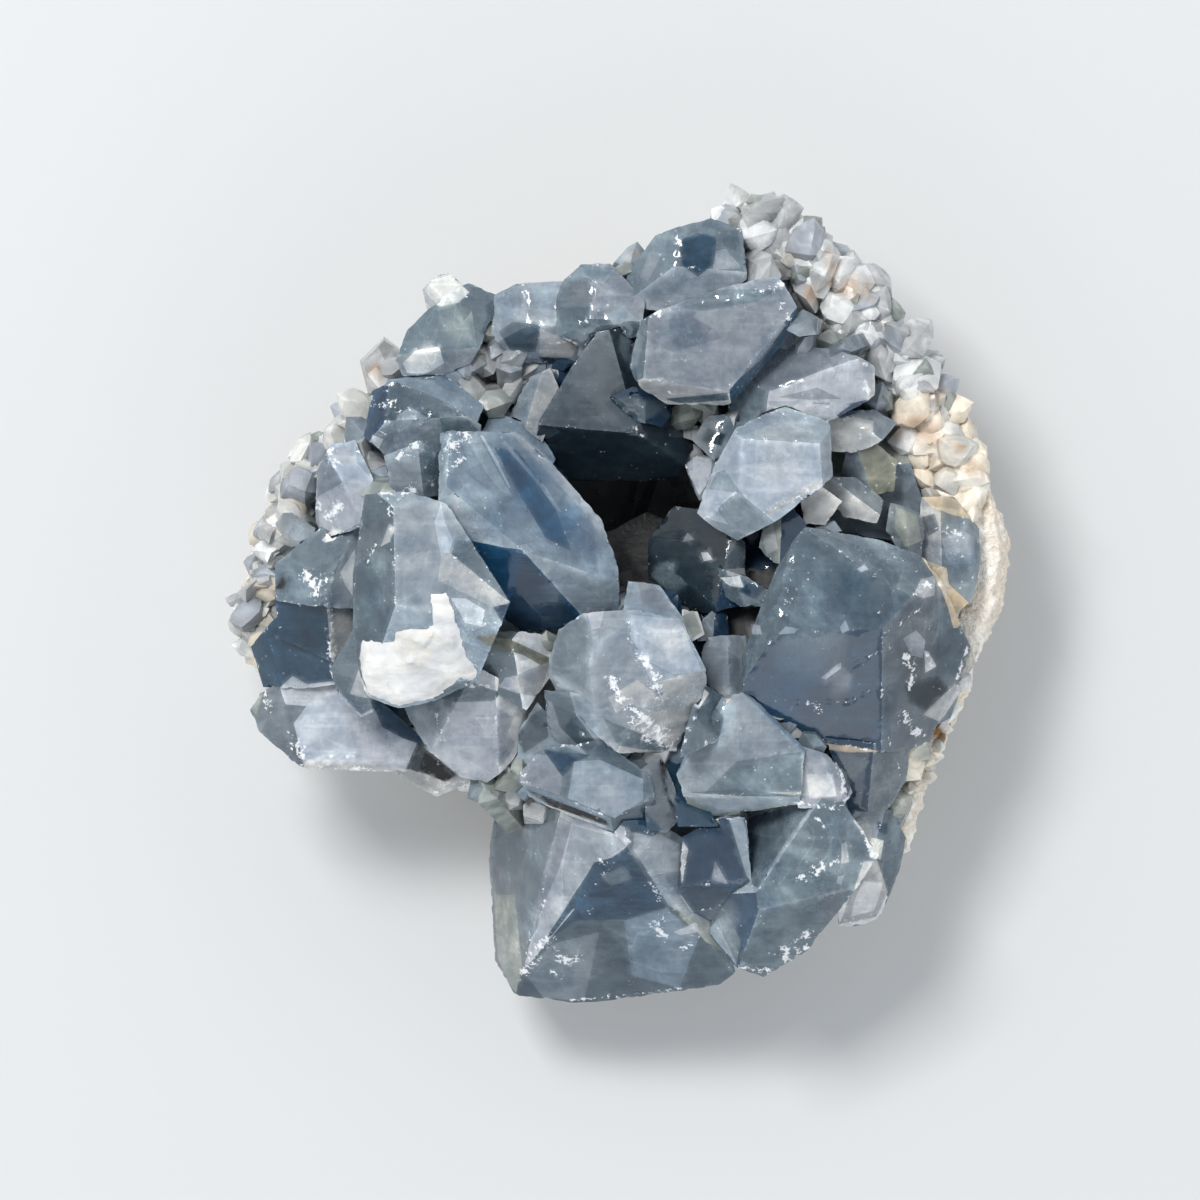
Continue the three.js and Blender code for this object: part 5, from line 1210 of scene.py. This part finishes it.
def fill_gaps(joined, shapes, ground, bunches, rng):
    """Stands small crystals in the gaps between the bunches, up to just below their tops."""
    xs = [x for x, _ in CRYSTAL_AREA]
    ys = [y for _, y in CRYSTAL_AREA]
    for row in range(int((max(ys) - min(ys)) / GAP_SPACING)):
        for column in range(int((max(xs) - min(xs)) / GAP_SPACING)):
            x = min(xs) + (column + rng.random()) * GAP_SPACING
            y = min(ys) + (row + rng.random()) * GAP_SPACING
            if not inside(x, y, CRYSTAL_AREA) or inside(x, y, HOLLOW) or top_face(bunches, x, y)[0]:
                continue
            around = []
            for i in range(GAP_LOOKS):
                away = GAP_REACH[i % 2]
                side = x + away * math.cos(LOOK_TURN * i), y + away * math.sin(LOOK_TURN * i)
                hits = [(from_above(tree, *side)[0], node) for node, tree in bunches.items()]
                around += [(hit.z, node) for hit, node in hits if hit]
            under = [hit.z for hit in (from_above(tree, x, y)[0] for tree in ground) if hit]
            if len(around) < 6 or not under:
                continue
            around.sort()
            top = around[len(around) // 3][0] - rng.uniform(0.2, 1.6) * MM
            radius = rng.uniform(1.5, 2.8)
            if top < max(under) + 0.5 * MM:
                continue
            tone = rng.choice((BUNCHES[rng.choice(around)[1]][0], "ash", "grey", "moss"))
            axis = Vector((rng.gauss(0, 0.25), rng.gauss(0, 0.25), 1)).normalized()
            shape, faces = rng.choice(shapes)
            tall = shape * np.where(shape[:, 2:] < 0, (1, 1, 3), (1, 1, 1))
            spot = plan(x, y) + Vector((0, 0, top - radius * MM))
            joined.add(*grown_at((tall, faces), spot, axis, radius, rng), tone, rng)


def build_druse():
    """The lining with the small crystals on it, in the gaps and along the rim."""
    rng = random.Random(21)
    ground = []
    for node in ("druse_crust", "matrix"):
        bm = bmesh.new()
        bm.from_mesh(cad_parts[node].data)
        ground.append(BVHTree.FromBMesh(bm))
        bm.free()
    sharp, rounded = small_crystal_shapes(False), small_crystal_shapes(True)
    joined = Joined()
    for spacing, small, large, soft, tones, outline in DRUSE_ZONES:
        xs = [x for x, _ in outline]
        ys = [y for _, y in outline]
        for row in range(int((max(ys) - min(ys)) / spacing) + 1):
            for column in range(int((max(xs) - min(xs)) / spacing) + 1):
                x = min(xs) + (column + rng.random()) * spacing
                y = min(ys) + (row + rng.random()) * spacing
                radius = rng.uniform(small, large)
                tone = rng.choice(tones)
                lean = Vector((rng.gauss(0, 0.3), rng.gauss(0, 0.3), 1))
                shape = rng.choice(rounded if soft else sharp)
                if not inside(x, y, outline):
                    continue
                hits = [from_above(tree, x, y) for tree in ground]
                hits = [(hit[0].z, hit) for hit in hits if hit[0]]
                if not hits:
                    continue
                _, (spot, normal, _, _) = max(hits, key=lambda item: item[0])
                axis = (normal * 0.6 + lean).normalized()
                spot = spot - axis * radius * MM * rng.uniform(0, 0.3)
                joined.add(*grown_at(shape, spot, axis, radius, rng), tone, rng)
    bunches = {node: BVHTree.FromBMesh(facets_of(node)) for node in BUNCHES}
    fill_gaps(joined, sharp, ground, bunches, rng)
    line_rim(joined, rounded, ground, bunches, rng)

    bm = bmesh.new()
    bm.from_mesh(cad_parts["druse_crust"].data)
    refine(bm, kd_tree([]), LINING_MESH, LINING_MESH)
    here = [vert.co / MM - VIEW_MIDDLE for vert in bm.verts]
    # The lining inside the hollow is painted black: painted shade.
    plain = ["black" if inside(p.x, p.y, HOLLOW) else "grey" for p in here]
    tones = np.array([(*linear(tone), TONES[tone][3]) for tone in plain] + joined.tones)
    bm.from_mesh(joined.mesh())
    stains_and_shadows = soft_patches([vert.co for vert in bm.verts], STAINS_AND_SHADOWS)
    tones[:, :3] += (stains_and_shadows[:, :3] - tones[:, :3]) * stains_and_shadows[:, 3:]
    mesh = bpy.data.meshes.new("druse_look")
    bm.to_mesh(mesh)
    bm.free()
    opaque = np.ones(len(tones))
    store(mesh, "tone", "FLOAT_COLOR", "POINT", np.column_stack([tones[:, :3], opaque]), "color")
    store(mesh, "clear", "FLOAT", "POINT", tones[:, 3], "value")
    mesh.validate()
    mark_sharp(mesh, DRUSE_CREASE)
    piece = put("druse_look", mesh, druse_material())
    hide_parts("druse_crust")
    return piece


def build_white_crust(crystals):
    """The lumpy cream-white crust that lies on the frosted crystal's front."""
    under = BVHTree.FromObject(crystals["crystals_left_crown"], bpy.context.evaluated_depsgraph_get())
    xs = [x for x, _ in CRUST_OUTLINE]
    ys = [y for _, y in CRUST_OUTLINE]
    bm = bmesh.new()
    rows = int((max(ys) - min(ys)) / CRUST_MESH) + 3
    columns = int((max(xs) - min(xs)) / CRUST_MESH) + 3
    edge = []
    for (xa, ya), (xb, yb) in zip(CRUST_OUTLINE, CRUST_OUTLINE[1:] + CRUST_OUTLINE[:1]):
        steps = max(1, int(math.hypot(xb - xa, yb - ya) / 0.3))
        edge += [(xa + (xb - xa) * i / steps, ya + (yb - ya) * i / steps) for i in range(steps)]
    edge = np.array(edge)
    grid = {}
    for row in range(rows):
        for column in range(columns):
            x = min(xs) + (column - 1) * CRUST_MESH
            y = min(ys) + (row - 1) * CRUST_MESH
            wander = noise.noise_vector(Vector((x, y, 0)) * 0.9) * 0.4
            gap = np.min(np.hypot(edge[:, 0] - x - wander.x, edge[:, 1] - y - wander.y))
            if not inside(x + wander.x, y + wander.y, CRUST_OUTLINE):
                gap = -gap
            if gap < -0.35:
                continue
            spot, normal, _, _ = from_above(under, x, y)
            if not spot or normal.z < 0.2:
                continue
            rise = min(1.0, max(-0.3, gap / 1.2))
            at = Vector((x, y, 3))
            plates = [noise.cell(noise.voronoi(at * size)[1][0] * 9.7) for size in CRUST_PLATES]
            stepped = 0.35 * plates[0] + 0.2 * plates[1]
            height = CRUST_HEIGHT * rise * (0.8 + stepped + 0.3 * noise.noise(at * 0.3))
            grid[row, column] = bm.verts.new(spot + normal * height * MM)
    for row, column in list(grid):
        ring = [(row, column), (row, column + 1), (row + 1, column + 1), (row + 1, column)]
        if all(key in grid for key in ring):
            bm.faces.new([grid[key] for key in ring])
    bmesh.ops.delete(bm, geom=[v for v in bm.verts if not v.link_faces], context="VERTS")
    border = [e for e in bm.edges if e.is_boundary]
    rim = list(dict.fromkeys(v for e in border for v in e.verts))
    for _ in range(3):
        bmesh.ops.smooth_vert(
            bm, verts=rim, factor=0.5, use_axis_x=True, use_axis_y=True, use_axis_z=True,
        )
    sunk = bmesh.ops.extrude_edge_only(bm, edges=border)["geom"]
    for vert in sunk:
        if isinstance(vert, bmesh.types.BMVert):
            vert.co.z -= 0.8 * MM
    bmesh.ops.recalc_face_normals(bm, faces=bm.faces)
    mesh = bpy.data.meshes.new("white_crust")
    bm.to_mesh(mesh)
    bm.free()
    mark_sharp(mesh, CRUST_CREASE)
    return put("white_crust", mesh, crust_material())


def build_rock():
    """The rock with its broken grain and its stains."""
    bm = bmesh.new()
    bm.from_mesh(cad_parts["matrix"].data)
    bmesh.ops.remove_doubles(bm, verts=bm.verts, dist=WELD)
    bm.normal_update()
    refine(bm, kd_tree([]), ROCK_MESH, ROCK_MESH)
    bm.normal_update()
    # Stains, and the painted shade of the hollow
    tint = soft_patches([vert.co for vert in bm.verts], STAINS_AND_SHADOWS)
    shifts = []
    for vert in bm.verts:
        at = vert.co / MM
        outward = min(1.0, max(0.0, (at.z - 0.5) / 3))
        lump = noise.fractal(at * 0.16, 1.0, 2.0, 4)
        grain = noise.fractal(at * 0.9, 0.8, 2.0, 3)
        inner = vert.normal.z > 0.2
        lift = (0.4 * grain - 0.1) if inner else (0.6 * lump + 0.7 * grain - 0.35)
        shifts.append(vert.normal * (lift * outward * MM))
    for vert, shift in zip(bm.verts, shifts):
        vert.co += shift
    mesh = bpy.data.meshes.new("rock_look")
    bm.to_mesh(mesh)
    bm.free()
    store(mesh, "tint", "FLOAT_COLOR", "POINT", tint, "color")
    mesh.validate()
    mark_sharp(mesh, ROCK_CREASE)
    piece = put("rock_look", mesh, rock_material())
    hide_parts("matrix")
    return piece


def add_camera_and_light():
    scene = bpy.context.scene
    camera = bpy.data.cameras.new("camera")
    camera.lens = SENSOR * VIEW_DISTANCE / VIEW_WIDTH
    camera.sensor_width = SENSOR
    camera.clip_end = 20
    holder = bpy.data.objects.new("camera", camera)
    holder.location = plan(0, 0, VIEW_DISTANCE + VIEW_LEVEL)
    scene.collection.objects.link(holder)
    scene.camera = holder

    def area(name, place, aim, size, power, tint):
        light = bpy.data.lights.new(name, "AREA")
        light.shape = "RECTANGLE"
        light.size, light.size_y = size
        light.energy = power
        light.color = tint
        lamp = bpy.data.objects.new(name, light)
        lamp.location = place
        lamp.rotation_euler = (Vector(aim) - Vector(place)).to_track_quat("-Z", "Y").to_euler()
        scene.collection.objects.link(lamp)

    area("key", (-0.28, 0.36, 0.95), (0, 0, 0.03), (0.26, 0.26), 8.0, (1.0, 0.99, 0.97))
    area("front_fill", (0.1, -0.8, 0.5), (0, 0, 0.03), (0.7, 0.3), 0.8, (0.95, 0.98, 1.0))

    world = bpy.data.worlds.new("studio")
    world.use_nodes = True
    t = Nodes(world.node_tree)
    towards = t.add("ShaderNodeTexCoord").outputs["Generated"]
    height = t.add("ShaderNodeSeparateXYZ", {0: towards}).outputs[2]
    strength = t.range(height, 0.8, 0.97, 1.03, 0.3)
    background = t.add("ShaderNodeBackground", {"Color": (0.9, 0.93, 0.96, 1), "Strength": strength})
    t.add("ShaderNodeOutputWorld", {"Surface": background.outputs[0]})
    scene.world = world
    scene.view_settings.view_transform = "Standard"
    scene.view_settings.look = "None"

    bpy.ops.mesh.primitive_plane_add(size=6, location=(0, 0, 0))
    floor = bpy.context.object
    floor.name = "floor"
    floor.data.materials.append(floor_material())


# Blender seeds its noise vectors by the clock unless told
noise.seed_set(NOISE_SEED)
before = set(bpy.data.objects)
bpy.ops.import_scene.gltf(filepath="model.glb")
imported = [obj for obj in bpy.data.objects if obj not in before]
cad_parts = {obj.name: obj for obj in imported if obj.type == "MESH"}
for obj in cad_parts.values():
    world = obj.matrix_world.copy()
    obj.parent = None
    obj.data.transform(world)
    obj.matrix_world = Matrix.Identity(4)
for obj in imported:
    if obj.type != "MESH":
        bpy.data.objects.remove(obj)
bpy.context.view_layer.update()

CRYSTAL_MATERIALS = {
    "crystal_blue": crystal_material("celestite_blue", (0.4, 0.58, 0.76), 14.0),
    "crystal_dark": crystal_material("celestite_dark", (0.3, 0.46, 0.68), 22.0),
    "crystal_grey": crystal_material("celestite_grey", (0.6, 0.66, 0.66), 12.0),
    "crystal_smoky": crystal_material("celestite_smoky", (0.46, 0.52, 0.66), 16.0),
    "crystal_pale": crystal_material("celestite_pale", (0.65, 0.78, 0.88), 10.0),
}

crystals = build_crystals()
build_rock()
build_druse()
build_white_crust(crystals)
add_camera_and_light()
